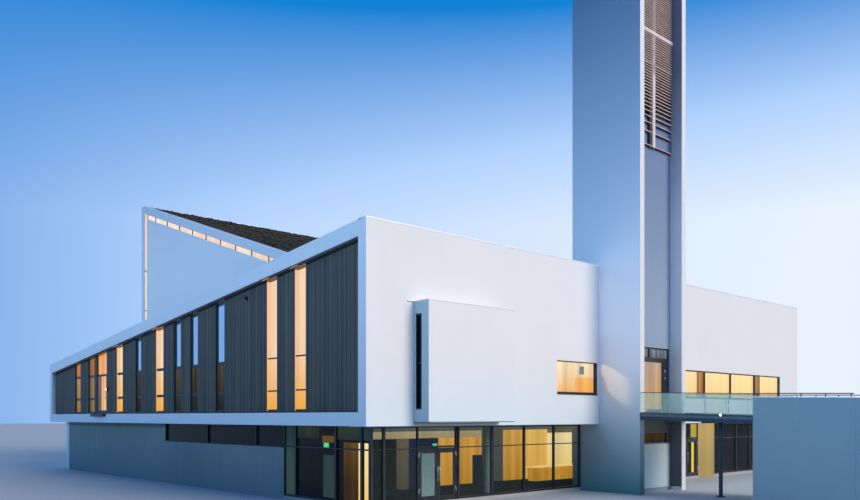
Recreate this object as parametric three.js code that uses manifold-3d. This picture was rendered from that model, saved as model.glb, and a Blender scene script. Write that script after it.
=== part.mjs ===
// Modern church building with a bell tower, an entrance bridge and a raised hall.
// Scale model 1:2. Every dimension below is real size in metres.
// X runs along the front facade, Y into the depth, Z up. The front's left corner is at X = 0, Y = 0.
import * as THREE from "three";
import { mergeVertices } from "three/addons/utils/BufferGeometryUtils.js";
import Module from "manifold-3d";

const wasm = await Module();
wasm.setup();

// Scale and seams
const MM_PER_REAL_METRE = 500;
const SEAM = 0.0006; // 0.3 mm in the model between neighbours
const NICK = 0.01; // small play and overlap in joinery

// Main block
const FRONT_WIDTH = 35.3;
const DEPTH = 33.95;
const GROUND_FLOOR = 0.15;
const SOFFIT = 3.15;
const UPPER_FLOOR = 3.65;
const FRONT_TOP = 10.5;
const ROOF_FALL = 0.1068; // metres of fall for each metre to the back
const WALL = 0.4;
const BACK_WALL = 0.49;
const PARAPET = 0.15;
const ROOF_THICKNESS = 0.35;

// Side frames and timber walls
const SIDE_THICKNESS = 0.42;
const TIMBER_SETBACK = 0.22;
const FRAME_NEAR = 0.46;
const FRAME_FAR = 33.5;
const FRAME_HEAD = 0.55;
const SLOT_SILL = 3.73;
const SLOT_HEAD = 0.1;
const SLOTS = [
  [4.05, 4.86],
  [6.16, 6.97],
  [10.56, 11.4],
  [13.16, 13.93],
  [14.96, 15.72],
  [16.94, 17.85],
  [19.7, 20.43],
  [22.18, 23.08],
  [24.56, 26.06],
  [26.5, 27.44],
  [28.8, 29.72],
];

// Hall above the roof
const HALL_LEFT = 6.2;
const HALL_RIGHT = FRONT_WIDTH - HALL_LEFT;
const HALL_FRONT = 7.5;
const HALL_TOP = 18.55;
const HALL_FALL = 0.3288;
const HALL_WALL = 0.4;
const FASCIA = 0.48;
const CLERESTORY = 0.33;
const CLERESTORY_FRONT = 9.6;
const CORNER_STRIP = 32.9; // the strip runs from here to the back wall
const CORNER_SILL = 0.15;
const HALL_SLAB = 0.4;
const HALL_WELL = [8.4, 33.2]; // the main roof is open here
const GLASS_LAP = 0.06;

// Front facade windows and bay
const WINDOW_SILL = 4.51;
const WINDOW_HEAD = 5.98;
const LEFT_WINDOW = [10.62, 13.58];
const RIGHT_WINDOW = [17.76, 32.78];
const BAY = { x: [2.21, 6.86], front: -0.84, z: [3.3, 7.735], wall: 0.25 };
const BAY_SLOT = { y: [-0.465, -0.14], z: [3.755, 7.27] };
const GLASS = 0.03;
const WINDOW_REVEAL = 0.16;
const PANE_REVEAL = 0.1;
const BACK_WINDOW = [3.6, 11.6];
const BACK_SILLS = { upper: [WINDOW_SILL, WINDOW_HEAD], lower: [1.05, 2.5] };

// Tower
const TOWER = { x: [13.71, 17.6], y: [-2.2, 1.53], top: 27.0, slab: 0.34 };
const TOWER_WALL = 0.25;
const RECESS = -1.56;
const CORE_TOP = 17.5;
const CORE_BACK_FOOT = 9.75;
const CAP = 0.4;
const TOWER_DOOR = { x: [14.3, 17.19], z: [3.65, 6.73] };
const TOWER_LOW_WINDOW = { x: [14.3, 17.0], z: [2.25, 2.75] };
const LOUVRE = { first: 16.05, last: 26.4, depth: 0.14, thickness: 0.045 };
const LOUVRE_STEP = { tightest: 0.1, slow: 0.1, slowRate: 0.92, wide: 0.43, wideRate: 0.52 };
const LOUVRE_POST = [15.5, 15.76];

// Bridge and ramp
const BRIDGE_END = -7.36;
const DECK_THICKNESS = 0.24;
const DECK_FALL = 0.03;
const DECK_AT_TOWER = 3.6;
const GUARD_HEIGHT = 0.96;
const GUARD_INSET = [0.03, 0.06];
const RAMP_END = -11.2;
const RAMP_WALL = 0.25;
const RAMP_WALL_TOP = [4.27, 4.19];
const RAMP_CROSS_TOP = 3.3;
const BRIDGE_COLUMN = { x: 15.655, y: -5.0, r: 0.085 };

// Lower storey
const SETBACK = 1.05;
const LOWER_WALL = 0.35;
const PANE_LINE = SETBACK + PANE_REVEAL;
const DOOR_LINE = SETBACK + 0.05;
const DOOR_FRAME_DEPTH = 0.1;
const PLINTH = { y: [7.01, 18.6], top: 2.19 };
const DOOR_HEAD = 2.265;
const FRAME_BAR = 0.07;
const LEAF_GAP = 0.014;
const LEAF_THICKNESS = 0.05;
const LEAF_STILE = 0.09;
const LEAF_LIFT = 0.016;
const REBATE = 0.02;
const HINGE = { r: 0.012, stand: 0.014, tab: 0.03, plate: 0.008, length: 0.09, heights: [0.35, 1.75] };
const ENTRANCE = [3.38, 5.54];
const COURT_DOOR = [23.36, 24.72];
const COURT_WALL_END = 26.46;
const INNER_COLUMN = { x: 8.25, y: 2.0, r: 0.19 };

const MATERIALS = {
  render: { color: 0xe4e8ee, roughness: 0.85 },
  timber: { color: 0x3f4350, roughness: 0.8 },
  glass: { color: 0xd8b878, roughness: 0.15, metalness: 0.1 },
  guardGlass: { color: 0x9fcbd0, roughness: 0.1, metalness: 0.1 },
  steel: { color: 0x27303c, roughness: 0.45, metalness: 0.6 },
  concrete: { color: 0x9aa2ac, roughness: 0.9 },
  roof: { color: 0x6c7178, roughness: 0.9 },
  sedum: { color: 0x4c5036, roughness: 1.0 },
};

// The group is moved so that the origin lies at the middle of the plan, on the level the walls stand on.
const root = new THREE.Group();
root.name = "modern_church";
root.position.set(
  (-FRONT_WIDTH / 2) * MM_PER_REAL_METRE,
  (-(DEPTH + RAMP_END) / 2) * MM_PER_REAL_METRE,
  0,
);

const roofTop = (y) => FRONT_TOP - ROOF_FALL * y;
const hallTop = (y) => HALL_TOP - HALL_FALL * (DEPTH - y);
const deckTop = (y) => DECK_AT_TOWER + DECK_FALL * (y - TOWER.y[0]);
const mirrored = (x) => FRONT_WIDTH - x;
const BACK_FACE = DEPTH - BACK_WALL;

// A closed manifold-3d solid from a three.js geometry in real metres.
function solid(geometry) {
  const plain = geometry.clone();
  plain.deleteAttribute("normal");
  plain.deleteAttribute("uv");
  plain.scale(MM_PER_REAL_METRE, MM_PER_REAL_METRE, MM_PER_REAL_METRE);
  const merged = mergeVertices(plain, 1e-2);
  return new wasm.Manifold(
    new wasm.Mesh({
      numProp: 3,
      vertProperties: merged.attributes.position.array,
      triVerts: new Uint32Array(merged.index.array),
    }),
  );
}

// A box between two corners.
function block([x0, x1], [y0, y1], [z0, z1]) {
  const g = new THREE.BoxGeometry(x1 - x0, y1 - y0, z1 - z0);
  g.translate((x0 + x1) / 2, (y0 + y1) / 2, (z0 + z1) / 2);
  return solid(g);
}

function shapeOf(points, holes = []) {
  const shape = new THREE.Shape(points.map(([a, b]) => new THREE.Vector2(a, b)));
  for (const hole of holes) {
    shape.holes.push(new THREE.Path(hole.map(([a, b]) => new THREE.Vector2(a, b))));
  }
  return shape;
}

// A profile drawn in Y and Z, extruded along X.
function alongX(points, [x0, x1], holes) {
  const g = new THREE.ExtrudeGeometry(shapeOf(points, holes), {
    depth: x1 - x0,
    bevelEnabled: false,
  });
  g.applyMatrix4(new THREE.Matrix4().set(0, 0, 1, x0, 1, 0, 0, 0, 0, 1, 0, 0, 0, 0, 0, 1));
  return solid(g);
}

// A profile drawn in X and Z, extruded along Y.
function alongY(points, [y0, y1], holes) {
  const g = new THREE.ExtrudeGeometry(shapeOf(points, holes), {
    depth: y1 - y0,
    bevelEnabled: false,
  });
  g.applyMatrix4(new THREE.Matrix4().set(1, 0, 0, 0, 0, 0, -1, y1, 0, 1, 0, 0, 0, 0, 0, 1));
  return solid(g);
}

function column({ x, y, r }, [z0, z1]) {
  const g = new THREE.CylinderGeometry(r, r, z1 - z0, 32);
  g.rotateX(Math.PI / 2);
  g.translate(x, y, (z0 + z1) / 2);
  return solid(g);
}

// The same solid on the other side of the building.
function mirror(body) {
  return body.mirror([1, 0, 0]).translate([FRONT_WIDTH * MM_PER_REAL_METRE, 0, 0]);
}

function add(name, body, material) {
  const mesh = body.getMesh();
  const positions = new Float32Array(mesh.numVert * 3);
  for (let i = 0; i < mesh.numVert; i++) {
    const start = i * mesh.numProp;
    positions.set(mesh.vertProperties.subarray(start, start + 3), i * 3);
  }
  const g = new THREE.BufferGeometry();
  g.setAttribute("position", new THREE.BufferAttribute(positions, 3));
  g.setIndex(new THREE.BufferAttribute(new Uint32Array(mesh.triVerts), 1));
  const flat = g.toNonIndexed();
  flat.computeVertexNormals();
  const part = new THREE.Mesh(flat, new THREE.MeshStandardMaterial(MATERIALS[material]));
  part.name = name;
  root.add(part);
}

function pair(name, body, material) {
  add(name + "_left", body, material);
  add(name + "_right", mirror(body), material);
}

const inset = ([a, b], by = SEAM) => [a + by, b - by];
const between = [TOWER.x[0] + TOWER.slab + SEAM, TOWER.x[1] - TOWER.slab - SEAM];
const towerCut = block(inset(TOWER.x, -SEAM), [-3, TOWER.y[1] + SEAM], [-1, 30]);

// Side frames: a sloping picture frame of white render around the timber wall
const frameOuter = [
  [WALL + SEAM, SOFFIT],
  [DEPTH, SOFFIT],
  [DEPTH, roofTop(DEPTH)],
  [WALL + SEAM, roofTop(WALL)],
];
const frameOpening = (by, head = FRAME_HEAD) => [
  [FRAME_NEAR + by, UPPER_FLOOR + by],
  [FRAME_FAR - by, UPPER_FLOOR + by],
  [FRAME_FAR - by, roofTop(FRAME_FAR) - head - by],
  [FRAME_NEAR + by, roofTop(FRAME_NEAR) - head - by],
];
pair("side_frame", alongX(frameOuter, [0, SIDE_THICKNESS], [frameOpening(0)]), "render");

// Timber walls with the tall slot windows cut through
const slotHoles = SLOTS.map(([y0, y1]) => [
  [y0, SLOT_SILL],
  [y1, SLOT_SILL],
  [y1, roofTop(y1) - FRAME_HEAD - SLOT_HEAD],
  [y0, roofTop(y0) - FRAME_HEAD - SLOT_HEAD],
]);
const timberSheet = alongX(frameOpening(SEAM), [TIMBER_SETBACK, SIDE_THICKNESS]);
const timberWall = slotHoles.reduce((wall, hole) => wall.subtract(alongX(hole, [0, 1])), timberSheet);
pair("timber_wall", timberWall, "timber");
const sideSheet = alongX(frameOpening(2 * SEAM), [SIDE_THICKNESS + SEAM, SIDE_THICKNESS + GLASS]);
pair("side_glass", sideSheet.subtract(block([0, 1], [BACK_FACE - SEAM, DEPTH], [0, FRONT_TOP])), "glass");

// Front facade on both sides of the tower
const frontProfile = [
  [0, SOFFIT],
  [WALL, SOFFIT],
  [WALL, roofTop(WALL)],
  [0, roofTop(0)],
];
const windowHole = (x) => block(x, [-1, 1], [WINDOW_SILL, WINDOW_HEAD]);
const bayInside = inset(BAY.x, BAY.wall);
const bayInsideZ = [UPPER_FLOOR, BAY.z[1] - BAY.wall];
add(
  "front_wall_left",
  alongX(frontProfile, [0, TOWER.x[0] - SEAM])
    .subtract(windowHole(LEFT_WINDOW))
    .subtract(block(bayInside, [-1, 1], bayInsideZ)),
  "render",
);
add(
  "front_wall_right",
  alongX(frontProfile, [TOWER.x[1] + SEAM, FRONT_WIDTH]).subtract(windowHole(RIGHT_WINDOW)),
  "render",
);
const frontPane = (x) =>
  block(inset(x), [WINDOW_REVEAL, WINDOW_REVEAL + GLASS], inset([WINDOW_SILL, WINDOW_HEAD]));
add("front_glass_left", frontPane(LEFT_WINDOW), "glass");
add("front_glass_right", frontPane(RIGHT_WINDOW), "glass");

// Bay box: a hollow shell open to the room behind
const bayShell = block(BAY.x, [BAY.front, -SEAM], BAY.z)
  .subtract(block(bayInside, [BAY.front + BAY.wall, 1], bayInsideZ))
  .subtract(block([BAY.x[0] - 1, BAY.x[0] + 2 * BAY.wall], BAY_SLOT.y, BAY_SLOT.z));
add("bay_box", bayShell, "render");
add(
  "bay_glass",
  block([BAY.x[0] + PANE_REVEAL, BAY.x[0] + PANE_REVEAL + GLASS], inset(BAY_SLOT.y), inset(BAY_SLOT.z)),
  "glass",
);

// Back wall, rising into the back of the hall
const backTop = roofTop(DEPTH);
const backProfile = [
  [SETBACK, 0],
  [mirrored(SETBACK), 0],
  [mirrored(SETBACK), SOFFIT],
  [mirrored(SIDE_THICKNESS) - SEAM, SOFFIT],
  [mirrored(SIDE_THICKNESS) - SEAM, backTop],
  [HALL_RIGHT, backTop],
  [HALL_RIGHT, hallTop(BACK_FACE)],
  [HALL_LEFT, hallTop(BACK_FACE)],
  [HALL_LEFT, backTop],
  [SIDE_THICKNESS + SEAM, backTop],
  [SIDE_THICKNESS + SEAM, SOFFIT],
  [SETBACK, SOFFIT],
];
const backWindow = (z) => block(BACK_WINDOW, [DEPTH - 1, DEPTH + 1], z);
const backHoles = Object.values(BACK_SILLS).flatMap((z) => [backWindow(z), mirror(backWindow(z))]);
const backSolid = alongY(backProfile, [BACK_FACE, DEPTH]);
add("back_wall", backHoles.reduce((wall, hole) => wall.subtract(hole), backSolid), "render");
for (const [storey, z] of Object.entries(BACK_SILLS)) {
  const sheetX = inset([BACK_WINDOW[0], mirrored(BACK_WINDOW[0])], -GLASS_LAP);
  const sheetY = [BACK_FACE - GLASS, BACK_FACE - SEAM];
  add("back_glass_" + storey, block(sheetX, sheetY, inset(z, -GLASS_LAP)), "glass");
}

// Main roof: one plane falling to the back, open under the hall
const inner = {
  x: [SIDE_THICKNESS + SEAM, mirrored(SIDE_THICKNESS) - SEAM],
  y: [WALL + SEAM, BACK_FACE - SEAM],
};
const roofBand = (top, bottom) => [
  [inner.y[0], roofTop(inner.y[0]) - bottom],
  [inner.y[1], roofTop(inner.y[1]) - bottom],
  [inner.y[1], roofTop(inner.y[1]) - top],
  [inner.y[0], roofTop(inner.y[0]) - top],
];
const hallInside = [HALL_LEFT + HALL_WALL, HALL_RIGHT - HALL_WALL];
const mainRoof = alongX(roofBand(PARAPET, PARAPET + ROOF_THICKNESS), inner.x)
  .subtract(block(hallInside, HALL_WELL, [0, 30]))
  .subtract(towerCut);
add("main_roof", mainRoof, "roof");

// Hall side walls up to the clerestory, and the fascia bands above it; the corner strip lies behind the walls
const HALL_WALL_END = BACK_FACE - SEAM;
const hallBase = (y) => roofTop(y) - PARAPET + SEAM;
const fasciaUnder = (y) => hallTop(y) - FASCIA;
const clerestorySill = (y) => fasciaUnder(y) - CLERESTORY;
const FASCIA_FOOT =
  (FRONT_TOP - PARAPET - HALL_TOP + HALL_FALL * DEPTH + FASCIA) / (HALL_FALL + ROOF_FALL);
const hallSideX = [HALL_LEFT, HALL_LEFT + HALL_WALL];
const hallWallTip = FASCIA_FOOT + 0.1;
const hallWallProfile = [
  [hallWallTip, hallBase(hallWallTip)],
  [CORNER_STRIP, hallBase(CORNER_STRIP)],
  [CORNER_STRIP, clerestorySill(CORNER_STRIP)],
  [CLERESTORY_FRONT, clerestorySill(CLERESTORY_FRONT)],
  [CLERESTORY_FRONT, fasciaUnder(CLERESTORY_FRONT) - SEAM],
  [hallWallTip, fasciaUnder(hallWallTip) - SEAM],
];
pair("hall_wall", alongX(hallWallProfile, hallSideX), "render");
const fasciaProfile = [
  [HALL_FRONT, hallBase(HALL_FRONT)],
  [FASCIA_FOOT, hallBase(FASCIA_FOOT)],
  [HALL_WALL_END, fasciaUnder(HALL_WALL_END)],
  [HALL_WALL_END, hallTop(HALL_WALL_END)],
  [HALL_FRONT, hallTop(HALL_FRONT)],
];
pair("hall_fascia", alongX(fasciaProfile, hallSideX), "render");
const glassFront = CLERESTORY_FRONT - GLASS_LAP;
const stripFront = CORNER_STRIP - GLASS_LAP;
const stripFoot = hallBase(CORNER_STRIP) + CORNER_SILL;
const hallGlassProfile = [
  [glassFront, clerestorySill(glassFront) - GLASS_LAP],
  [stripFront, clerestorySill(stripFront) - GLASS_LAP],
  [stripFront, stripFoot],
  [HALL_WALL_END, stripFoot],
  [HALL_WALL_END, fasciaUnder(HALL_WALL_END) + GLASS_LAP],
  [glassFront, fasciaUnder(glassFront) + GLASS_LAP],
];
const hallGlassX = HALL_LEFT + HALL_WALL;
pair("hall_glass", alongX(hallGlassProfile, [hallGlassX + SEAM, hallGlassX + GLASS]), "glass");

// Hall roof: a planted slab between the side walls, resting on the main roof at its foot
const hallSlab = alongX(
  [
    [HALL_FRONT, hallTop(HALL_FRONT) - HALL_SLAB],
    [HALL_WALL_END, hallTop(HALL_WALL_END) - HALL_SLAB],
    [HALL_WALL_END, hallTop(HALL_WALL_END)],
    [HALL_FRONT, hallTop(HALL_FRONT)],
  ],
  inset(hallInside),
);
const underRoof = alongX(
  [
    [0, 0],
    [DEPTH, 0],
    [DEPTH, roofTop(DEPTH) - PARAPET + SEAM],
    [0, roofTop(0) - PARAPET + SEAM],
  ],
  [0, FRONT_WIDTH],
);
add("hall_roof", hallSlab.subtract(underRoof), "sedum");

// Upper floor, with the tower landing between the tower slabs
const landing = (z) => block(between, [RECESS + TOWER_WALL + SEAM, 2], z);
const upperFloor = block(inner.x, inner.y, [SOFFIT, UPPER_FLOOR])
  .subtract(towerCut)
  .add(landing([SOFFIT, UPPER_FLOOR]));
add("upper_floor", upperFloor, "concrete");

// Tower: two side slabs, the core wall between them and the flat cap
add("tower_slab_left", block([TOWER.x[0], TOWER.x[0] + TOWER.slab], TOWER.y, [0, TOWER.top]), "render");
add("tower_slab_right", block([TOWER.x[1] - TOWER.slab, TOWER.x[1]], TOWER.y, [0, TOWER.top]), "render");
const towerCore = block(between, [RECESS, RECESS + TOWER_WALL], [0, CORE_TOP])
  .add(block(between, [RECESS, TOWER.y[1]], [CORE_TOP - TOWER_WALL, CORE_TOP]))
  .add(block(between, [TOWER.y[1] - TOWER_WALL, TOWER.y[1]], [CORE_BACK_FOOT, CORE_TOP]))
  .subtract(block(TOWER_DOOR.x, [-2, 0], TOWER_DOOR.z))
  .subtract(block(TOWER_LOW_WINDOW.x, [-2, 0], TOWER_LOW_WINDOW.z));
add("tower_core", towerCore, "render");
add("tower_cap", block(between, [RECESS, TOWER.y[1]], [TOWER.top - CAP, TOWER.top]), "render");

// Louvres: slats that stand closer together with height, fused to one post
function louvreHeights(start) {
  const { tightest, slow, slowRate, wide, wideRate } = LOUVRE_STEP;
  const heights = [];
  let z = LOUVRE.first;
  for (let n = 0; z < LOUVRE.last; n++) {
    heights.push(z);
    z += tightest + slow * slowRate ** n + wide * wideRate ** n;
  }
  return heights.filter((height) => height >= start);
}
function louvreBank(start, y) {
  const post = block(LOUVRE_POST, y, [start, TOWER.top - CAP - SEAM]);
  return louvreHeights(start).reduce(
    (bank, z) => bank.add(block(between, y, [z, z + LOUVRE.thickness])),
    post,
  );
}
add("tower_louvres_front", louvreBank(LOUVRE.first, [RECESS - LOUVRE.depth, RECESS - SEAM]), "render");
const backLouvreFace = TOWER.y[1] - TOWER_WALL;
add(
  "tower_louvres_back",
  louvreBank(CORE_TOP + SEAM, [backLouvreFace, backLouvreFace + LOUVRE.depth]),
  "render",
);
const towerPane = ({ x, z }) => block(inset(x), [RECESS + PANE_REVEAL, RECESS + PANE_REVEAL + GLASS], inset(z));
add("tower_door_glass", towerPane(TOWER_DOOR), "glass");
add("tower_low_glass", towerPane(TOWER_LOW_WINDOW), "glass");

// Bridge deck, its glass guards and its column
const deckBand = ([y0, y1], top, bottom) => [
  [y0, deckTop(y0) - bottom],
  [y1, deckTop(y1) - bottom],
  [y1, deckTop(y1) - top],
  [y0, deckTop(y0) - top],
];
const deckOut = [BRIDGE_END + SEAM, TOWER.y[0] - SEAM];
const deckIn = [TOWER.y[0] - DECK_THICKNESS, RECESS - SEAM];
const bridgeDeck = alongX(deckBand(deckOut, 0, DECK_THICKNESS), TOWER.x).add(
  alongX(deckBand(deckIn, 0, DECK_THICKNESS), between),
);
add("bridge_deck", bridgeDeck, "steel");
const guardGlass = (x) =>
  alongX(deckBand(inset([BRIDGE_END, TOWER.y[0]], NICK), -GUARD_HEIGHT, -SEAM), x);
add("bridge_guard_left", guardGlass(GUARD_INSET.map((d) => TOWER.x[0] + d)), "guardGlass");
add("bridge_guard_right", guardGlass(GUARD_INSET.map((d) => TOWER.x[1] - d).reverse()), "guardGlass");
const columnTop = deckTop(BRIDGE_COLUMN.y - BRIDGE_COLUMN.r) - DECK_THICKNESS - SEAM;
add("bridge_column", column(BRIDGE_COLUMN, [0, columnTop]), "steel");

// Ramp: two side walls with the cross wall and the ramp slab between them
const rampWall = (x) =>
  alongX(
    [
      [RAMP_END, 0],
      [BRIDGE_END, 0],
      [BRIDGE_END, RAMP_WALL_TOP[0]],
      [RAMP_END, RAMP_WALL_TOP[1]],
    ],
    x,
  );
add("ramp_wall_left", rampWall([TOWER.x[0], TOWER.x[0] + RAMP_WALL]), "render");
add("ramp_wall_right", rampWall([TOWER.x[1] - RAMP_WALL, TOWER.x[1]]), "render");
const rampInside = inset(TOWER.x, RAMP_WALL + SEAM);
const rampCore = alongX(deckBand([RAMP_END, BRIDGE_END], 0, DECK_THICKNESS), rampInside).add(
  block(rampInside, [BRIDGE_END - RAMP_WALL, BRIDGE_END], [0, RAMP_CROSS_TOP]),
);
add("ramp_core", rampCore, "concrete");

// Lower storey sides: glass near the front, then a plinth with a strip window, then a closed wall
const lowerTop = SOFFIT - SEAM;
const lowerEnd = HALL_WALL_END;
const lowerWallProfile = [
  [PLINTH.y[0], 0],
  [lowerEnd, 0],
  [lowerEnd, lowerTop],
  [PLINTH.y[1], lowerTop],
  [PLINTH.y[1], PLINTH.top],
  [PLINTH.y[0], PLINTH.top],
];
const lowerWall = alongX(lowerWallProfile, [SETBACK, SETBACK + LOWER_WALL]);
pair("lower_wall", lowerWall, "render");
const paneBottom = GROUND_FLOOR + SEAM;
const cornerPost = PANE_LINE + GLASS + NICK;
const lowerGlassProfile = [
  [cornerPost, paneBottom],
  [PLINTH.y[0] - SEAM, paneBottom],
  [PLINTH.y[0] - SEAM, PLINTH.top + SEAM],
  [PLINTH.y[1] - SEAM, PLINTH.top + SEAM],
  [PLINTH.y[1] - SEAM, lowerTop],
  [cornerPost, lowerTop],
];
pair("lower_glass", alongX(lowerGlassProfile, [PANE_LINE, PANE_LINE + GLASS]), "glass");

// Lower storey front: fixed glass split beside the doorways
const frontSheet = (x) => block(x, [PANE_LINE, PANE_LINE + GLASS], [paneBottom, lowerTop]);
add("entrance_glass_left", frontSheet([PANE_LINE, ENTRANCE[0] - SEAM]), "glass");
add("entrance_glass_right", frontSheet([ENTRANCE[1] + SEAM, TOWER.x[0] - SEAM]), "glass");
add("court_glass_left", frontSheet([TOWER.x[1] + SEAM, COURT_DOOR[0] - SEAM]), "glass");
add(
  "court_wall",
  block([COURT_DOOR[1] + SEAM, COURT_WALL_END], [SETBACK, SETBACK + LOWER_WALL], [0, lowerTop]),
  "render",
);
add("court_glass_right", frontSheet([COURT_WALL_END + SEAM, mirrored(PANE_LINE)]), "glass");

// Door frames with a fixed light over the door head
function doorFrame([x0, x1]) {
  const outer = block([x0, x1], [DOOR_LINE, DOOR_LINE + DOOR_FRAME_DEPTH], [paneBottom, lowerTop]);
  const clear = inset([x0, x1], FRAME_BAR);
  const doorway = block(clear, [0, 2], [0, DOOR_HEAD]);
  const light = block(clear, [0, 2], [DOOR_HEAD + FRAME_BAR, lowerTop - FRAME_BAR]);
  const pane = block(
    inset([x0, x1], REBATE),
    inset([PANE_LINE, PANE_LINE], -GLASS / 2),
    inset([DOOR_HEAD, lowerTop], REBATE),
  );
  return outer.subtract(doorway).subtract(light).add(pane);
}

// Hinges: one knuckle on the frame and one above it on the leaf, on the same vertical axis.
// The leaf lies on the side given by toward: 1 for +X, -1 for -X.
function knuckles(jamb, toward, onLeaf) {
  const axis = { x: jamb + (toward * LEAF_GAP) / 2, y: DOOR_LINE - HINGE.stand, r: HINGE.r };
  const side = onLeaf ? toward : -toward;
  const far = axis.x + side * (HINGE.tab + LEAF_GAP / 2);
  const plateX = [Math.min(axis.x, far), Math.max(axis.x, far)];
  return HINGE.heights.map((height) => {
    const start = GROUND_FLOOR + height + (onLeaf ? HINGE.length + SEAM : 0);
    const z = [start, start + HINGE.length];
    return column(axis, z).add(block(plateX, [axis.y - HINGE.plate / 2, DOOR_LINE + NICK], z));
  });
}
const joined = (body, pieces) => pieces.reduce((all, piece) => all.add(piece), body);
const jambs = ([x0, x1]) => inset([x0, x1], FRAME_BAR);
const [entranceLeftJamb, entranceRightJamb] = jambs(ENTRANCE);
const courtJamb = jambs(COURT_DOOR)[1];
add(
  "entrance_frame",
  joined(doorFrame(ENTRANCE), [
    ...knuckles(entranceLeftJamb, 1, false),
    ...knuckles(entranceRightJamb, -1, false),
  ]),
  "steel",
);
add("court_frame", joined(doorFrame(COURT_DOOR), knuckles(courtJamb, -1, false)), "steel");

// Door leaves: stiles and rails around a thinner pane
function leaf([x0, x1]) {
  const z = [GROUND_FLOOR + LEAF_LIFT, DOOR_HEAD - LEAF_GAP];
  const outer = block([x0, x1], [DOOR_LINE, DOOR_LINE + LEAF_THICKNESS], z);
  const hole = block(inset([x0, x1], LEAF_STILE), [0, 2], inset(z, LEAF_STILE));
  const middle = DOOR_LINE + LEAF_THICKNESS / 2;
  const pane = block(
    inset([x0, x1], LEAF_STILE - REBATE),
    inset([middle, middle], -GLASS / 2),
    inset(z, LEAF_STILE - REBATE),
  );
  return outer.subtract(hole).add(pane);
}
const entranceClear = inset(ENTRANCE, FRAME_BAR + LEAF_GAP);
const entranceMiddle = (ENTRANCE[0] + ENTRANCE[1]) / 2;
const leftLeaf = leaf([entranceClear[0], entranceMiddle - LEAF_GAP / 2]);
const rightLeaf = leaf([entranceMiddle + LEAF_GAP / 2, entranceClear[1]]);
const courtLeaf = leaf(inset(COURT_DOOR, FRAME_BAR + LEAF_GAP));
add("entrance_door_left", joined(leftLeaf, knuckles(entranceLeftJamb, 1, true)), "steel");
add("entrance_door_right", joined(rightLeaf, knuckles(entranceRightJamb, -1, true)), "steel");
add("court_door", joined(courtLeaf, knuckles(courtJamb, -1, true)), "steel");

// Round column behind the entrance glass
add("inner_column", column(INNER_COLUMN, [GROUND_FLOOR + SEAM, lowerTop]), "concrete");

// Ground slab inside the lower walls, with the tower floor between the tower slabs
const lowerWallCut = block(
  [SETBACK - 1, SETBACK + LOWER_WALL + SEAM],
  [PLINTH.y[0] - SEAM, DEPTH],
  [-1, 4],
);
const groundSlab = block([SETBACK, mirrored(SETBACK)], [SETBACK, lowerEnd], [0, GROUND_FLOOR])
  .subtract(towerCut)
  .subtract(lowerWallCut)
  .subtract(mirror(lowerWallCut))
  .subtract(
    block([COURT_DOOR[1], COURT_WALL_END + SEAM], [SETBACK - 1, SETBACK + LOWER_WALL + SEAM], [-1, 4]),
  )
  .add(landing([0, GROUND_FLOOR]));
add("ground_slab", groundSlab, "concrete");

export default root;
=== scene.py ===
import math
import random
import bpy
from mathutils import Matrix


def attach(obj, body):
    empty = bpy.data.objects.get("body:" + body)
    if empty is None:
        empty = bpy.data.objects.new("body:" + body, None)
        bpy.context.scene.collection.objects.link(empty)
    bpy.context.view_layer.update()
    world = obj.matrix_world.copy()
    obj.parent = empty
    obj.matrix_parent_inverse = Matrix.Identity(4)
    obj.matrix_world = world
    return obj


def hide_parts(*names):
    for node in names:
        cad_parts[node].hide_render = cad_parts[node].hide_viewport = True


bl_info = {
    "name": "Modern church, scale 1:2",
    "version": (1, 0, 0),
    "blender": (4, 5, 0),
    "location": "3D View > Sidebar > Church",
    "description": "Boards, glazing, louvres, bridge and planted roof for the church model",
    "category": "Object",
}

import bpy
from bpy.props import FloatProperty, FloatVectorProperty, IntProperty, PointerProperty
from mathutils import Matrix, Vector

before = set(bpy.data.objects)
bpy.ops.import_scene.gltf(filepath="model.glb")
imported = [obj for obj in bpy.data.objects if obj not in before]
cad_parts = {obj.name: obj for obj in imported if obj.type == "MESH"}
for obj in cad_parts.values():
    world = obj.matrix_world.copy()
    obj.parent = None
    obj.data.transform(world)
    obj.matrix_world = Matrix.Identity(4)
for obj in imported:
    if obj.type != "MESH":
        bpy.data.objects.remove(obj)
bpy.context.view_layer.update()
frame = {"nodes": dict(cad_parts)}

# Every size below is in real metres of the building, from the left end of the front facade.
# X runs along the front, Y into the depth, Z up. The model is half that size.
MODEL_SCALE = 0.5
PLAN_MIDDLE = (17.65, 11.375)
DEPTH = 33.95
SOFFIT = 3.15
FLOOR = 0.15
ROOF_TOP = 10.5
ROOF_FALL = 0.1068
HALL_TOP = 18.55
HALL_FALL = 0.3288
HALL_EDGE = 0.48
HALL_PANE = 0.33

# The tall windows of each side: near edge, far edge and what shows behind the glass.
SLOTS = [
    (4.05, 4.86, "lit"),
    (6.16, 6.97, "lit"),
    (10.56, 11.4, "sky"),
    (13.16, 13.93, "sky"),
    (14.96, 15.72, "sky"),
    (16.94, 17.85, "lit"),
    (19.7, 20.43, "sky"),
    (22.18, 23.08, "lit"),
    (24.56, 26.06, "door"),
    (26.5, 27.44, "dim"),
    (28.8, 29.72, "dim"),
]
SLOT_SILL = 3.73
SLOT_FRAME = (0.25, 0.33)
SLOT_GLASS = (0.285, 0.3)
SLOT_BACK = 0.419
EAVES_DEPTH = 0.65
TIMBER_RANGE = (0.46, 33.5)
TIMBER_FOOT = 3.65
TIMBER_FACE = 0.2194
BOARD_DEPTHS = (0.024, 0.03)
TRANSOMS = (4.55, 5.9)

TOWER_X = (13.71, 17.6)
TOWER_Y = (-2.2, 1.53)
RECESS = -1.56
BRIDGE_END = -7.36
RAMP_END = -11.2
DECK_FALL = 0.03

STRIP_WINDOW = (4.51, 5.98)

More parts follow.
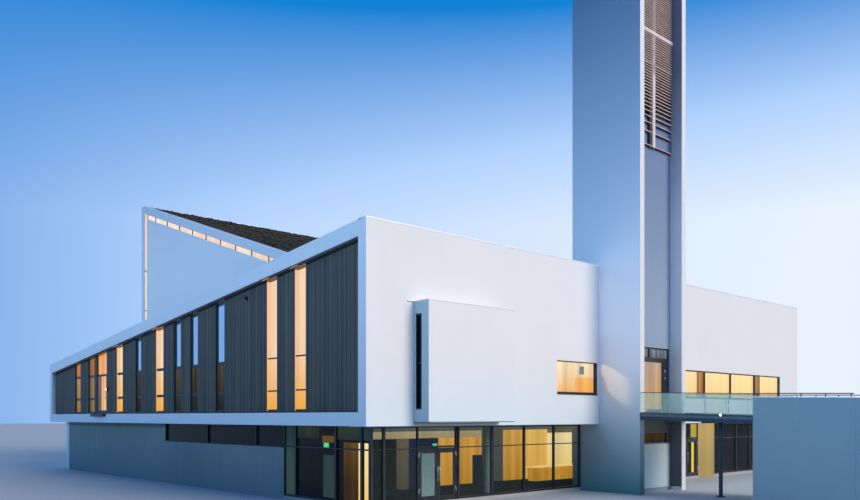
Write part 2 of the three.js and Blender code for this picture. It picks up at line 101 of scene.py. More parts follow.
CAMERA_PLACE = (-17.47, -16.779, 1.75)
CAMERA_LENS = 33.53
CAMERA_SHIFT = 0.1936

# Edge bevels of the bars, from the thinnest sheet to a frame.
HAIR = 0.002
FINE = 0.003
SOFT = 0.004
EDGE = 0.008


def at(x, y, z):
    """A point of the building, in the model's own frame."""
    return Vector((
        (x - PLAN_MIDDLE[0]) * MODEL_SCALE,
        (y - PLAN_MIDDLE[1]) * MODEL_SCALE,
        z * MODEL_SCALE,
    ))


def about(middle, half):
    """The range that reaches a half width to both sides of a place."""
    return (middle - half, middle + half)


def roof_top(y):
    return ROOF_TOP - ROOF_FALL * y


def hall_top(y):
    return HALL_TOP - HALL_FALL * (DEPTH - y)


def hall_sill(y):
    """Foot of the hall's high windows."""
    return hall_top(y) - HALL_EDGE - HALL_PANE


def slot_head(y):
    """Top of the tall windows, under the sloping frame."""
    return roof_top(y) - EAVES_DEPTH


def deck_top(y):
    return 3.6 + DECK_FALL * (y - TOWER_Y[0])


# Modelling helpers


def deselect():
    bpy.ops.object.select_all(action="DESELECT")


def select_only(pieces):
    deselect()
    for piece in pieces:
        piece.select_set(True)
    bpy.context.view_layer.objects.active = pieces[0]


def edit_all(piece):
    select_only([piece])
    bpy.ops.object.mode_set(mode="EDIT")
    bpy.ops.mesh.select_all(action="SELECT")


def leave_edit():
    bpy.ops.object.mode_set(mode="OBJECT")


def settle(piece):
    """Moves the piece's place into its mesh."""
    select_only([piece])
    bpy.ops.object.transform_apply(location=True, rotation=True, scale=True)
    return piece


def paint(piece, finish):
    piece.data.materials.clear()
    piece.data.materials.append(bpy.data.materials[finish])
    return piece


def block(low, high):
    """A box between two corners in the model's own frame."""
    deselect()
    bpy.ops.mesh.primitive_cube_add(size=1, location=(low + high) / 2, scale=high - low)
    return settle(bpy.context.object)


def round_edges(piece, offset):
    edit_all(piece)
    bpy.ops.mesh.bevel(offset=offset, segments=1, affect="EDGES")
    leave_edit()


def bar(xs, ys, zs, finish="frame_paint", bevel=EDGE):
    """A bar between two corners with its edges bevelled."""
    low, high = (at(*corner) for corner in zip(xs, ys, zs))
    piece = block(low, high)
    round_edges(piece, min(bevel * MODEL_SCALE, 0.3 * min(high - low)))
    return paint(piece, finish)


def bars(boxes, finish="frame_paint", bevel=EDGE):
    """Bars of one finish, each given by its ranges along X, Y and Z."""
    return [bar(*box, finish, bevel) for box in boxes]


def rod(centre, radius, length, axis, finish, sides=20):
    """A round rod with bevelled ends, along one axis."""
    turn = {"X": (0, math.pi / 2, 0), "Z": (0, 0, 0)}[axis]
    deselect()
    bpy.ops.mesh.primitive_cylinder_add(
        vertices=sides,
        radius=radius * MODEL_SCALE,
        depth=length * MODEL_SCALE,
        location=at(*centre),
        rotation=turn,
    )
    piece = bpy.context.object
    caps = [face.index for face in piece.data.polygons if len(face.vertices) == sides]
    bpy.ops.object.mode_set(mode="EDIT")
    bpy.ops.mesh.select_mode(type="FACE")
    bpy.ops.mesh.select_all(action="DESELECT")
    leave_edit()
    for index in caps:
        piece.data.polygons[index].select = True
    bpy.ops.object.mode_set(mode="EDIT")
    bpy.ops.mesh.bevel(offset=radius * 0.15 * MODEL_SCALE, segments=2, affect="EDGES")
    leave_edit()
    return paint(settle(piece), finish)


def copy_of(piece, matrix):
    """Another copy with its own mesh, moved by a matrix."""
    twin = piece.copy()
    twin.data = piece.data.copy()
    twin.data.transform(matrix)
    bpy.context.scene.collection.objects.link(twin)
    return twin


def lean(piece, fall, y=0.0):
    """Lets the piece fall towards the back by a slope, keeping its height at y."""
    slope = Matrix.Identity(4)
    slope[2][1] = -fall
    pivot = Matrix.Translation((0, at(0, y, 0).y, 0))
    piece.data.transform(pivot @ slope @ pivot.inverted())
    return piece


def cut(piece, z, fall, keep_below=True):
    """Cuts the piece along a plane at height z over the front, falling to the back."""
    edit_all(piece)
    bpy.ops.mesh.bisect(
        plane_co=at(0, 0, z),
        plane_no=(0, fall, 1),
        use_fill=True,
        clear_outer=keep_below,
        clear_inner=not keep_below,
    )
    leave_edit()
    return piece


def join(pieces):
    select_only(pieces)
    if len(pieces) > 1:
        bpy.ops.object.join()
    return bpy.context.view_layer.objects.active


def complete(pieces, name, body="building", replaces=()):
    """Joins the pieces into one named piece that rides on a body."""
    whole = join(pieces)
    whole.name = name
    whole.data.name = name
    select_only([whole])
    bpy.ops.object.shade_smooth_by_angle(angle=math.radians(35))
    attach(whole, body)
    if replaces:
        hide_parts(*replaces)
    return whole


def both_sides(pieces, name):
    """One piece for the left side of the building and its mirror image for the right."""
    whole = complete(pieces, name + "_left")
    twin = copy_of(whole, Matrix.Scale(-1, 4, (1, 0, 0)))
    twin.data.flip_normals()
    complete([twin], name + "_right")


def window_frame(xs, zs, ys, width, rail=None):
    """Four bars around an opening in a wall that runs along X."""
    inner, rail = (xs[0] + width, xs[1] - width), rail or width
    boxes = [
        ((xs[0], inner[0]), ys, zs),
        ((inner[1], xs[1]), ys, zs),
        (inner, ys, (zs[0], zs[0] + rail)),
        (inner, ys, (zs[1] - rail, zs[1])),
    ]
    return bars(boxes)


# Node helpers


def new_group(name, inputs, outputs):
    tree = bpy.data.node_groups.new(name, "ShaderNodeTree")
    for label, kind, value in inputs:
        socket = tree.interface.new_socket(label, in_out="INPUT", socket_type=kind)
        socket.default_value = value
    for label, kind in outputs:
        tree.interface.new_socket(label, in_out="OUTPUT", socket_type=kind)
    return tree


def add(tree, kind, **values):
    node = tree.nodes.new(kind)
    for key, value in values.items():
        setattr(node, key, value)
    return node


def feed(tree, value, socket):
    """Sets a socket to a plain value, or links it to the output of another node."""
    if isinstance(value, (float, tuple)):
        socket.default_value = value
    else:
        tree.links.new(value, socket)


def noise(tree, vector, scale, detail):
    node = add(tree, "ShaderNodeTexNoise")
    for label, value in (("Vector", vector), ("Scale", scale), ("Detail", detail)):
        feed(tree, value, node.inputs[label])
    return node.outputs["Fac"]


def stretched(tree, scale=(1, 1, 1)):
    """Object coordinates, scaled apart on the three axes where a scale is given."""
    place = add(tree, "ShaderNodeTexCoord")
    mapping = add(tree, "ShaderNodeMapping")
    mapping.inputs["Scale"].default_value = scale
    tree.links.new(place.outputs["Object"], mapping.inputs["Vector"])
    return mapping.outputs["Vector"]


def split(tree, vector):
    """The three parts of a vector."""
    node = add(tree, "ShaderNodeSeparateXYZ")
    tree.links.new(vector, node.inputs[0])
    return node.outputs


def spread(tree, value, low, high, to_low=0.0, to_high=1.0):
    node = add(tree, "ShaderNodeMapRange")
    numbers = {"From Min": low, "From Max": high, "To Min": to_low, "To Max": to_high, "Value": value}
    for label, number in numbers.items():
        feed(tree, number, node.inputs[label])
    return node.outputs["Result"]


def blend(tree, factor, first, second, mode="MIX"):
    node = add(tree, "ShaderNodeMix", data_type="RGBA", blend_type=mode)
    for index, value in ((0, factor), (6, first), (7, second)):
        feed(tree, value, node.inputs[index])
    return node.outputs[2]


def combine(tree, operation, first, second):
    node = add(tree, "ShaderNodeMath", operation=operation)
    for index, value in enumerate((first, second)):
        feed(tree, value, node.inputs[index])
    return node.outputs[0]


def ends(tree):
    return add(tree, "NodeGroupInput").outputs, add(tree, "NodeGroupOutput").inputs


COLOUR = "NodeSocketColor"
NUMBER = "NodeSocketFloat"
FINISH_OUTPUTS = (("Colour", COLOUR), ("Roughness", NUMBER), ("Height", NUMBER))


def mottle_group():
    """Two tones mottled in broad clouds with a fine tooth, for render, concrete and roofing, with painted
    shade that fades in between two heights and painted ground shade that fades out upwards from the floor.
    """
    inputs = [
        ("Light", COLOUR, (1, 1, 1, 1)),
        ("Dark", COLOUR, (0.5, 0.5, 0.5, 1)),
        ("Rough", NUMBER, 0.8),
        ("Tooth", NUMBER, 60.0),
        ("Streak", NUMBER, 0.3),
        ("Shade", COLOUR, (1, 1, 1, 1)),
        ("Fade from", NUMBER, 100.0),
        ("Fade to", NUMBER, 101.0),
        ("Ground shade", COLOUR, (1, 1, 1, 1)),
        ("Ground shade height", NUMBER, 0.001),
    ]
    tree = new_group("Mottle", inputs, FINISH_OUTPUTS)
    given, out = ends(tree)
    clouds = noise(tree, stretched(tree), 0.35, 4.0)
    streaks = noise(tree, stretched(tree, (3.5, 3.5, 0.25)), 1.0, 3.0)
    run = combine(tree, "MULTIPLY", combine(tree, "SUBTRACT", streaks, 0.5), given["Streak"])
    mask = spread(tree, combine(tree, "ADD", clouds, run), 0.3, 0.7)
    height = split(tree, stretched(tree))["Z"]
    # Painted shade: the tone turns to the Shade tone between the two fade heights.
    fade = spread(tree, height, given["Fade from"], given["Fade to"])
    tone = blend(tree, mask, given["Dark"], given["Light"])
    tone = blend(tree, fade, tone, given["Shade"])
    # Painted ground shade: near the floor the tone turns to the ground tone.
    foot = spread(tree, height, 0.0, given["Ground shade height"])
    tree.links.new(blend(tree, foot, given["Ground shade"], tone), out["Colour"])
    grain = noise(tree, stretched(tree), given["Tooth"], 2.0)
    tree.links.new(grain, out["Height"])
    wear = spread(tree, grain, 0.3, 0.7, 0.9, 1.1)
    tree.links.new(combine(tree, "MULTIPLY", given["Rough"], wear), out["Roughness"])


def board_group():
    """Upright weathered boards: one tone a board, long grain and pale streaks."""
    inputs = [("Light", COLOUR, (0.1, 0.1, 0.1, 1)), ("Dark", COLOUR, (0.02, 0.02, 0.02, 1))]
    tree = new_group("Board", inputs, FINISH_OUTPUTS)
    given, out = ends(tree)
    island = add(tree, "ShaderNodeNewGeometry").outputs["Random Per Island"]
    grain = noise(tree, stretched(tree, (70, 70, 1.6)), 1.0, 5.0)
    streak = noise(tree, stretched(tree, (9, 9, 0.35)), 1.0, 3.0)
    by_board = combine(tree, "MULTIPLY", island, 0.32)
    tone = combine(tree, "ADD", by_board, combine(tree, "MULTIPLY", streak, 0.72))
    mask = spread(tree, combine(tree, "ADD", tone, combine(tree, "MULTIPLY", grain, 0.45)), 0.45, 1.05)
    tree.links.new(blend(tree, mask, given["Dark"], given["Light"]), out["Colour"])
    tree.links.new(spread(tree, grain, 0.3, 0.7, 0.6, 0.85), out["Roughness"])
    tree.links.new(grain, out["Height"])


def glow_group():
    """Warm light that changes with height, with soft upright folds as of a curtain."""
    inputs = [
        ("Low", COLOUR, (1, 0.4, 0.1, 1)),
        ("High", COLOUR, (1, 0.7, 0.5, 1)),
        ("Bottom", NUMBER, 1.8),
        ("Top", NUMBER, 3.0),
        ("Folds", NUMBER, 12.0),
        ("Depth", NUMBER, 0.2),
    ]
    tree = new_group("Glow", inputs, FINISH_OUTPUTS[:1])
    given, out = ends(tree)
    place = add(tree, "ShaderNodeTexCoord").outputs["Object"]
    height = spread(tree, split(tree, place)["Z"], given["Bottom"], given["Top"])
    ramp = blend(tree, height, given["Low"], given["High"])
    folds = noise(tree, stretched(tree, (1, 1, 0.04)), given["Folds"], 2.0)
    darkest = combine(tree, "SUBTRACT", 1.0, given["Depth"])
    shade = spread(tree, folds, 0.35, 0.65, darkest, 1.0)
    tree.links.new(blend(tree, 1.0, ramp, shade, "MULTIPLY"), out["Colour"])


def metal_group():
    """Painted metal: faint wear and dust, and a gloss that changes with them."""
    inputs = [
        ("Paint", COLOUR, (0.02, 0.02, 0.03, 1)),
        ("Dust", COLOUR, (0.1, 0.1, 0.12, 1)),
        ("Amount", NUMBER, 0.3),
        ("Rough", NUMBER, 0.4),
    ]
    tree = new_group("Painted metal", inputs, FINISH_OUTPUTS)
    given, out = ends(tree)
    cloud = noise(tree, stretched(tree), 6.0, 5.0)
    mask = combine(tree, "MULTIPLY", spread(tree, cloud, 0.4, 0.75), given["Amount"])
    tree.links.new(blend(tree, mask, given["Paint"], given["Dust"]), out["Colour"])
    dull = combine(tree, "MULTIPLY", mask, 0.3)
    tree.links.new(combine(tree, "ADD", given["Rough"], dull), out["Roughness"])
    tree.links.new(noise(tree, stretched(tree), 90.0, 2.0), out["Height"])


def slat_group():
    """Slats in a paint that is pale on their faces, with painted shade on their undersides."""
    inputs = [("Face", COLOUR, (0.7, 0.6, 0.55, 1)), ("Under", COLOUR, (0.1, 0.08, 0.08, 1))]
    tree = new_group("Slat", inputs, FINISH_OUTPUTS)
    given, out = ends(tree)
    facing = split(tree, add(tree, "ShaderNodeNewGeometry").outputs["Normal"])
    # Painted shade: faces that look down take the dark underside tone.
    below = spread(tree, facing["Z"], -0.7, -0.1, 1.0, 0.0)
    cloud = noise(tree, stretched(tree), 7.0, 4.0)
    face = blend(tree, spread(tree, cloud, 0.35, 0.75, 0.0, 0.35), given["Face"], given["Under"])
    tree.links.new(blend(tree, below, face, given["Under"]), out["Colour"])
    tree.links.new(spread(tree, cloud, 0.3, 0.7, 0.45, 0.65), out["Roughness"])
    tree.links.new(cloud, out["Height"])


def planting_group():
    """Low planting in three mingled tones."""
    inputs = [
        ("Leaf", COLOUR, (0.05, 0.09, 0.02, 1)),
        ("Dry", COLOUR, (0.12, 0.09, 0.06, 1)),
        ("Soil", COLOUR, (0.02, 0.02, 0.02, 1)),
    ]
    tree = new_group("Planting", inputs, FINISH_OUTPUTS)
    given, out = ends(tree)
    patches = noise(tree, stretched(tree, (1, 1.6, 1)), 1.1, 4.0)
    sprigs = noise(tree, stretched(tree), 9.0, 5.0)
    tone = blend(tree, spread(tree, patches, 0.42, 0.58), given["Leaf"], given["Dry"])
    tree.links.new(blend(tree, spread(tree, sprigs, 0.35, 0.6), given["Soil"], tone), out["Colour"])
    tree.links.new(spread(tree, sprigs, 0.3, 0.7, 0.8, 1.0), out["Roughness"])
    tree.links.new(sprigs, out["Height"])


def make_finish(name, group, values, bump=0.0, **sockets):
    """A material whose colour, gloss and relief come from one shared group."""
    if name in bpy.data.materials:
        raise ValueError(f"a material named {name} is there already")
    material = bpy.data.materials.new(name)
    material.use_nodes = True
    tree = material.node_tree
    shader = tree.nodes["Principled BSDF"]
    source = add(tree, "ShaderNodeGroup", node_tree=bpy.data.node_groups[group])
    for label, value in values.items():
        source.inputs[label].default_value = value
    if group == "Glow":
        tree.links.new(source.outputs["Colour"], shader.inputs["Emission Color"])
    else:
        tree.links.new(source.outputs["Colour"], shader.inputs["Base Color"])
        tree.links.new(source.outputs["Roughness"], shader.inputs["Roughness"])
    if bump:
        relief = add(tree, "ShaderNodeBump")
        relief.inputs["Strength"].default_value = 0.5
        relief.inputs["Distance"].default_value = bump
        tree.links.new(source.outputs["Height"], relief.inputs["Height"])
        tree.links.new(relief.outputs["Normal"], shader.inputs["Normal"])
    for label, value in sockets.items():
        shader.inputs[label.replace("_", " ")].default_value = value
    return shader


def tint(red, green, blue):
    return (red, green, blue, 1.0)


def glow(name, low, high, bottom, top, folds, depth, strength=1.0, rough=0.12):
    """A pane or wall that glows with painted light, its tone changing from the bottom to the top, with folds
    as of a curtain.
    """
    values = dict(Low=tint(*low), High=tint(*high), Folds=folds, Depth=depth)
    values["Bottom"], values["Top"] = bottom * MODEL_SCALE, top * MODEL_SCALE
    shine = 0.2 if rough < 0.5 else 0.0
    shader = make_finish(
        name, "Glow", values, Emission_Strength=strength, Roughness=rough, Specular_IOR_Level=shine
    )
    shader.inputs["Base Color"].default_value = tint(0.015, 0.015, 0.015)


def dim_glow(*values):
    """A glow without gloss, for what lies behind other glass or gets no shine."""
    glow(*values, rough=0.9)


def mottled(name, light, dark, tooth=70.0, streak=0.25, bump=0.002, rough=0.85, shade=(), foot=()):
    """Render, concrete or roofing. Shade is a painted shade tone with the heights where its fade starts and
    ends, and foot a painted ground shade tone with the height up to which it fades out.
    """
    values = dict(Light=tint(*light), Dark=tint(*dark), Rough=rough, Tooth=tooth, Streak=streak)
    if shade:
        values["Shade"] = tint(*shade[0])
        values["Fade from"], values["Fade to"] = (height * MODEL_SCALE for height in shade[1:])
    if foot:
        values["Ground shade"], values["Ground shade height"] = tint(*foot[0]), foot[1] * MODEL_SCALE
    make_finish(name, "Mottle", values, bump=bump)


def painted(name, paint_colour, dust, amount, rough, bump=0.0006, **sockets):
    """Paint, glass or backing with a share of dust, and the shader's own sockets by name."""
    values = dict(Paint=tint(*paint_colour), Dust=tint(*dust), Amount=amount, Rough=rough)
    make_finish(name, "Painted metal", values, bump=bump, **sockets)


# Slats with painted shade on their undersides.
def slatted(name, face, under):
    make_finish(name, "Slat", dict(Face=tint(*face), Under=tint(*under)), bump=0.001)


def make_render(colours):
    """Render, concrete and roofing, several of them with painted shade or painted light."""
    white = tuple(colours.render)
    pale = tuple(0.955 * part for part in white)
    # Painted ground shade: the white render turns cooler and darker towards the floor.
    mottled("white_render", white, pale, foot=((0.62, 0.86, 0.98), 6.0))
    mottled("column_paint", (0.17, 0.26, 0.25), (0.14, 0.22, 0.21), 60.0, 0.3)
    # Painted shade: the tower's render darkens above 14.5 m.
    mottled("tower_render", white, pale, shade=((0.24, 0.29, 0.44), 14.5, 25.0))
    # A lighter copy of the render for the tower's left face, in painted shade high up and in dark painted
    # ground shade at the foot.
    left_shade, left_ground_shade = ((0.10, 0.275, 0.48), 10.0, 25.0), ((0.05, 0.23, 0.26), 5.8)
    left_tones = ((0.96, 0.97, 1.0), (0.93, 0.94, 0.98))
    mottled("tower_render_left", *left_tones, shade=left_shade, foot=left_ground_shade)
    # A lighter, warmer copy of the white render: painted light on the hall walls.
    mottled("hall_render", (0.98, 0.93, 0.95), (0.94, 0.89, 0.91))
    # The core's darker blue-grey tone stands partly for the shade in the recess, and painted shade deepens
    # above 8 m.
    core_shade = ((0.12, 0.20, 0.40), 8.0, 20.0)
    mottled("core_render", (0.33, 0.44, 0.58), (0.29, 0.39, 0.53), streak=0.4, shade=core_shade)
    # Painted shade: near-black render for the recess linings and the foot of the bay's side.
    mottled("recess_shade", (0.10, 0.13, 0.15), (0.08, 0.105, 0.13), streak=0.4)
    # Painted shade on the slab's inner face, deepening high up under the louvres.
    inner_shade = ((0.19, 0.23, 0.33), 12.5, 20.0)
    mottled("inner_render", (0.82, 0.84, 0.88), (0.76, 0.79, 0.84), streak=0.2, shade=inner_shade)
    # Painted shade: a darker copy of the render for the bay's left side.
    mottled("bay_render", (0.40, 0.53, 0.60), (0.37, 0.49, 0.56), streak=0.2)
    mottled("ramp_render", (0.32, 0.46, 0.50), (0.285, 0.42, 0.465), 60.0, 0.3)
    # Painted shade: the lower walls' render as it looks in shadow under the overhang, also used on the bay's
    # lip.
    mottled("plinth_shade", (0.22, 0.31, 0.33), (0.17, 0.25, 0.28), 60.0, 0.4)
    mottled("smooth_concrete", (0.46, 0.48, 0.50), (0.34, 0.36, 0.38), 40.0, 0.3, 0.003)
    mottled("roof_membrane", (0.27, 0.29, 0.31), (0.19, 0.21, 0.23), 25.0, 0.3, 0.003, 0.8)
    # Painted light: a warm glow for the wall strip under the bay.
    mottled("painted_warm_light", (0.80, 0.62, 0.40), (0.70, 0.54, 0.35), 60.0, 0.3, rough=0.8)


def make_paints(colours):
    """Boards, metals, slats and planting."""
    boards = dict(Light=tint(*colours.timber_light), Dark=tint(*colours.timber_dark))
    make_finish("timber_boards", "Board", boards, bump=0.004)
    painted("frame_paint", colours.frame, (0.05, 0.065, 0.085), 0.3, 0.32)
    painted("deck_steel", (0.03, 0.05, 0.085), (0.09, 0.12, 0.16), 0.35, 0.35, 0.001, Metallic=0.4)
    painted("edge_steel", (0.09, 0.14, 0.19), (0.16, 0.21, 0.26), 0.35, 0.35, 0.001, Metallic=0.4)
    painted("bronze_frame", (0.16, 0.07, 0.03), (0.3, 0.15, 0.07), 0.4, 0.35, Metallic=0.4)
    painted("coping_metal", (0.96, 0.96, 0.97), (0.86, 0.87, 0.9), 0.3, 0.4, Metallic=0.5)
    painted("bright_steel", (0.55, 0.57, 0.6), (0.35, 0.37, 0.4), 0.4, 0.25, 0.0004, Metallic=0.9)
    # Dark backing behind the boards; the same dark sheet also paints shade in the window reveals, behind the
    # louvres and under the bay.
    painted("dark_backing_and_shade", (0.028, 0.032, 0.045), (0.05, 0.06, 0.08), 0.5, 0.7, 0.001)
    painted("louvre_back", (0.30, 0.30, 0.42), (0.36, 0.36, 0.48), 0.6, 0.8, 0.001)
    slatted("louvre_paint", (0.62, 0.47, 0.43), (0.055, 0.045, 0.05))
    slatted("louvre_beam", (0.84, 0.76, 0.76), (0.4, 0.36, 0.38))
    painted("louvre_post", (0.86, 0.78, 0.76), (0.74, 0.66, 0.64), 0.4, 0.45, 0.001)
    painted("post_shade", (0.34, 0.27, 0.25), (0.44, 0.36, 0.34), 0.5, 0.6, 0.001)
    planting = dict(
        Leaf=tint(*colours.planting), Dry=tint(0.110, 0.092, 0.098), Soil=tint(0.024, 0.024, 0.025)
    )
    make_finish("roof_planting", "Planting", planting, bump=0.02, Specular_IOR_Level=0.0)


def make_glass():
    painted("clear_glass", (0.05, 0.08, 0.08), (0.09, 0.12, 0.12), 0.2, 0.02, 0.0, Alpha=0.1)
    painted("guard_pane", (0.72, 0.98, 0.76), (0.78, 1.0, 0.84), 0.3, 0.05, 0.0, Alpha=0.27)
    painted("sky_glass", (0.74, 0.86, 0.92), (0.82, 0.90, 0.95), 0.4, 0.05, 0.0, Metallic=1.0)
    # Teal glass, its tint partly a painted reflection of the sky.
    painted("teal_glass", (0.20, 0.32, 0.31), (0.26, 0.38, 0.36), 0.4, 0.05, 0.0, Metallic=0.3)
    dark = ((0.010, 0.013, 0.014), (0.025, 0.028, 0.028))
    painted("dark_glass", *dark, 0.3, 0.06, 0.0, Specular_IOR_Level=0.15)


def make_upper_lights():
    """Lit panes of the upper floor and the hall, which glow with painted lamplight, a painted spill of
    window light on the frame, and the lamps.
    """
    glow("lit_pane", (0.90, 0.42, 0.05), (0.93, 0.66, 0.43), 3.9, 6.0, 7.0, 0.12)
    glow("lit_reveal", (0.85, 0.42, 0.10), (0.93, 0.58, 0.34), 4.0, 6.6, 3.0, 0.08)
    dim_glow("lit_edge", (0.40, 0.24, 0.11), (0.42, 0.28, 0.15), 4.0, 10.0, 3.0, 0.3)
    dim_glow("dim_pane", (0.30, 0.16, 0.05), (0.55, 0.21, 0.05), 4.2, 6.5, 5.0, 0.4)
    dim_glow("dim_low", (0.36, 0.22, 0.08), (0.46, 0.27, 0.10), 4.0, 5.9, 5.0, 0.5)
    dim_glow("brown_pane", (0.018, 0.024, 0.021), (0.085, 0.066, 0.036), 3.9, 5.9, 6.0, 0.7)
    glow("exit_pane", (1.0, 0.52, 0.12), (1.0, 0.40, 0.09), 4.5, 6.6, 4.0, 0.3)
    glow("exit_strip", (0.20, 0.11, 0.06), (0.26, 0.15, 0.08), 4.5, 5.9, 9.0, 0.6)
    glow("curtain", (1.0, 0.66, 0.22), (0.99, 0.76, 0.36), 4.5, 5.9, 3.5, 0.12)
    glow("curtain_edge", (0.42, 0.16, 0.02), (0.50, 0.20, 0.03), 4.5, 5.9, 9.0, 0.5)
    glow("left_window", (1.0, 0.54, 0.17), (1.0, 0.78, 0.48), 4.6, 5.7, 3.0, 0.3)
    glow("window_panel", (1.0, 0.42, 0.08), (0.97, 0.50, 0.14), 4.5, 5.3, 3.0, 0.25)
    glow("clerestory", (1.0, 0.76, 0.60), (1.0, 0.80, 0.66), 11.0, 18.0, 1.2, 0.2)
    glow("corner_strip", (1.0, 0.72, 0.50), (1.0, 0.66, 0.42), 8.0, 17.0, 1.0, 0.1)
    glow("bridge_door", (0.62, 0.38, 0.13), (0.56, 0.38, 0.27), 4.2, 6.0, 5.0, 0.35)
    glow("fanlight", (0.13, 0.15, 0.17), (0.22, 0.25, 0.29), 6.2, 6.7, 9.0, 0.7)
    dim_glow("amber", (0.035, 0.020, 0.007), (0.05, 0.030, 0.012), 2.3, 2.7, 6.0, 0.4)
    glow("lamp_light", (1.0, 0.75, 0.4), (1.0, 0.8, 0.5), 0.0, 10.0, 1.0, 0.05, 4.0)
    glow("exit_plate", (0.05, 0.6, 0.2), (0.1, 0.8, 0.35), 2.0, 2.7, 5.0, 0.1)


def make_lower_lights(colours):
    """What shows through the glass of the lower storey, glowing with painted lamplight, and a painted pool
    of lamplight on the court wall.
    """
    room = (0.3, 2.9)
    dim_glow("room_orange", (0.62, 0.30, 0.02), tuple(colours.lamplight), *room, 3.0, 0.4)
    dim_glow("room_yellow", (0.90, 0.46, 0.06), (0.92, 0.58, 0.14), *room, 2.5, 0.35)
    dim_glow("room_bright", (1.0, 0.66, 0.18), (1.0, 0.86, 0.46), *room, 2.0, 0.2)
    dim_glow("room_dark", (0.008, 0.009, 0.011), (0.012, 0.014, 0.018), *room, 2.0, 0.5)
    dim_glow("room_navy", (0.010, 0.014, 0.030), (0.012, 0.018, 0.042), *room, 2.0, 0.3)
    dim_glow("room_grey", (0.07, 0.085, 0.075), (0.10, 0.115, 0.10), *room, 2.0, 0.3)
    dim_glow("court_yellow", (0.95, 0.66, 0.04), (1.0, 0.74, 0.07), *room, 4.0, 0.2)
    dim_glow("court_dim", (0.46, 0.37, 0.05), (0.55, 0.44, 0.07), *room, 4.0, 0.3)
    dim_glow("lamplit_wall", (0.44, 0.31, 0.12), (0.56, 0.40, 0.15), 0.8, 2.9, 1.5, 0.25)
    dim_glow("room_band", (0.38, 0.31, 0.16), (0.44, 0.37, 0.21), 2.4, 2.9, 2.0, 0.2)
    dim_glow("room_pillar", (0.09, 0.08, 0.045), (0.16, 0.14, 0.08), 0.3, 2.5, 2.0, 0.3)
    dim_glow("side_brown", (0.07, 0.035, 0.010), (0.17, 0.085, 0.018), 1.0, 2.6, 3.0, 0.5)
    dim_glow("side_teal", (0.036, 0.072, 0.068), (0.018, 0.044, 0.052), 1.9, 2.6, 2.0, 0.4)
    dim_glow("side_olive", (0.014, 0.023, 0.020), (0.030, 0.044, 0.032), 2.5, 3.1, 2.0, 0.5)


# The glow finishes below make CAD glass and the court wall glow with painted lamplight.
CAD_FINISHES = {
    "white_render": (
        "back_wall bay_box front_wall_left front_wall_right hall_fascia_left hall_fascia_right "
        "side_frame_left side_frame_right"
    ),
    "hall_render": "hall_wall_left hall_wall_right",
    "tower_render": "tower_cap tower_slab_right",
    "tower_render_left": "tower_slab_left",
    "core_render": "tower_core",
    "ramp_render": "ramp_wall_left ramp_wall_right",
    "plinth_shade": "lower_wall_left lower_wall_right",
    "lamplit_wall": "court_wall",
    "dark_backing_and_shade": "timber_wall_left timber_wall_right",
    "louvre_paint": "tower_louvres_front tower_louvres_back",
    "smooth_concrete": "ground_slab upper_floor ramp_core",
    "column_paint": "inner_column",
    "roof_membrane": "main_roof",
    "roof_planting": "hall_roof",
    "guard_pane": "bridge_guard_left bridge_guard_right",
    "deck_steel": "bridge_deck bridge_column",
    "frame_paint": "entrance_frame court_frame entrance_door_left entrance_door_right court_door",
    "lit_pane": "side_glass_left side_glass_right",
    "left_window": "front_glass_left",
    "curtain": "front_glass_right back_glass_upper",
    "dark_glass": "bay_glass lower_glass_left lower_glass_right back_glass_lower",
    "bridge_door": "tower_door_glass",
    "amber": "tower_low_glass",
    "clerestory": "hall_glass_left hall_glass_right",
    "clear_glass": "entrance_glass_left entrance_glass_right court_glass_left court_glass_right",
}


def dress_cad():
    for name, nodes in CAD_FINISHES.items():
        for node in nodes.split():
            paint_slots(frame["nodes"][node], bpy.data.materials[name])


def paint_slots(node, material):
    for place in node.material_slots:
        place.material = material


# Timber sides


def timber_segments():
    edges = [TIMBER_RANGE[0]]
    for near, far, _ in SLOTS:
        edges += [near, far]
    edges.append(TIMBER_RANGE[1])
    return list(zip(edges[::2], edges[1::2]))


def board_template(depth):
    """An upright board, one metre wide."""
    low = at(TIMBER_FACE - depth, 0, TIMBER_FOOT + 0.02)
    return paint(block(low, at(TIMBER_FACE, 1, ROOF_TOP)), "timber_boards")


def boards_between(template, start, end, pitch, gap):
    """Copies of the board laid side by side from start to end."""
    count = max(1, round((end - start) / pitch))
    width = (end - start) / count
    origin = at(0, 0, 0).y
    pieces = []
    for index in range(count):
        place = at(0, start + width * index + gap / 2, 0).y
        scale = Matrix.Translation((0, place, 0)) @ Matrix.Diagonal((1, width - gap, 1, 1))
        pieces.append(copy_of(template[index % 2], scale @ Matrix.Translation((0, -origin, 0))))
    return pieces


def timber_cladding(sizes):
    template = [board_template(depth) for depth in BOARD_DEPTHS]
    laying = (sizes.board_pitch, sizes.board_gap)
    walls = []
    for start, end in timber_segments():
        walls += boards_between(template, start, end, *laying)
    top, foot = roof_top(0) - 0.57, roof_top(0) - 0.645
    wall = cut(join(walls), top, ROOF_FALL)
    heads, sills = [], []
    for near, far, _ in SLOTS:
        heads += boards_between(template, near, far, *laying)
        sills.append(bar((0.16, TIMBER_FACE), (near, far), (3.66, 3.725)))
    head = cut(join(heads), top, ROOF_FALL)
    head = cut(head, foot, ROOF_FALL, keep_below=False)
    for piece in template:
        bpy.data.objects.remove(piece)
    boards = join([wall, head])
    round_edges(boards, SOFT * MODEL_SCALE)
    both_sides([boards], "timber_boards")
    both_sides(sills, "slot_sills")


# Slot windows


def slot_bar(near, far, z, depth, thickness):
    return bar((SLOT_FRAME[0], SLOT_FRAME[0] + depth), (near, far), about(z, thickness / 2))


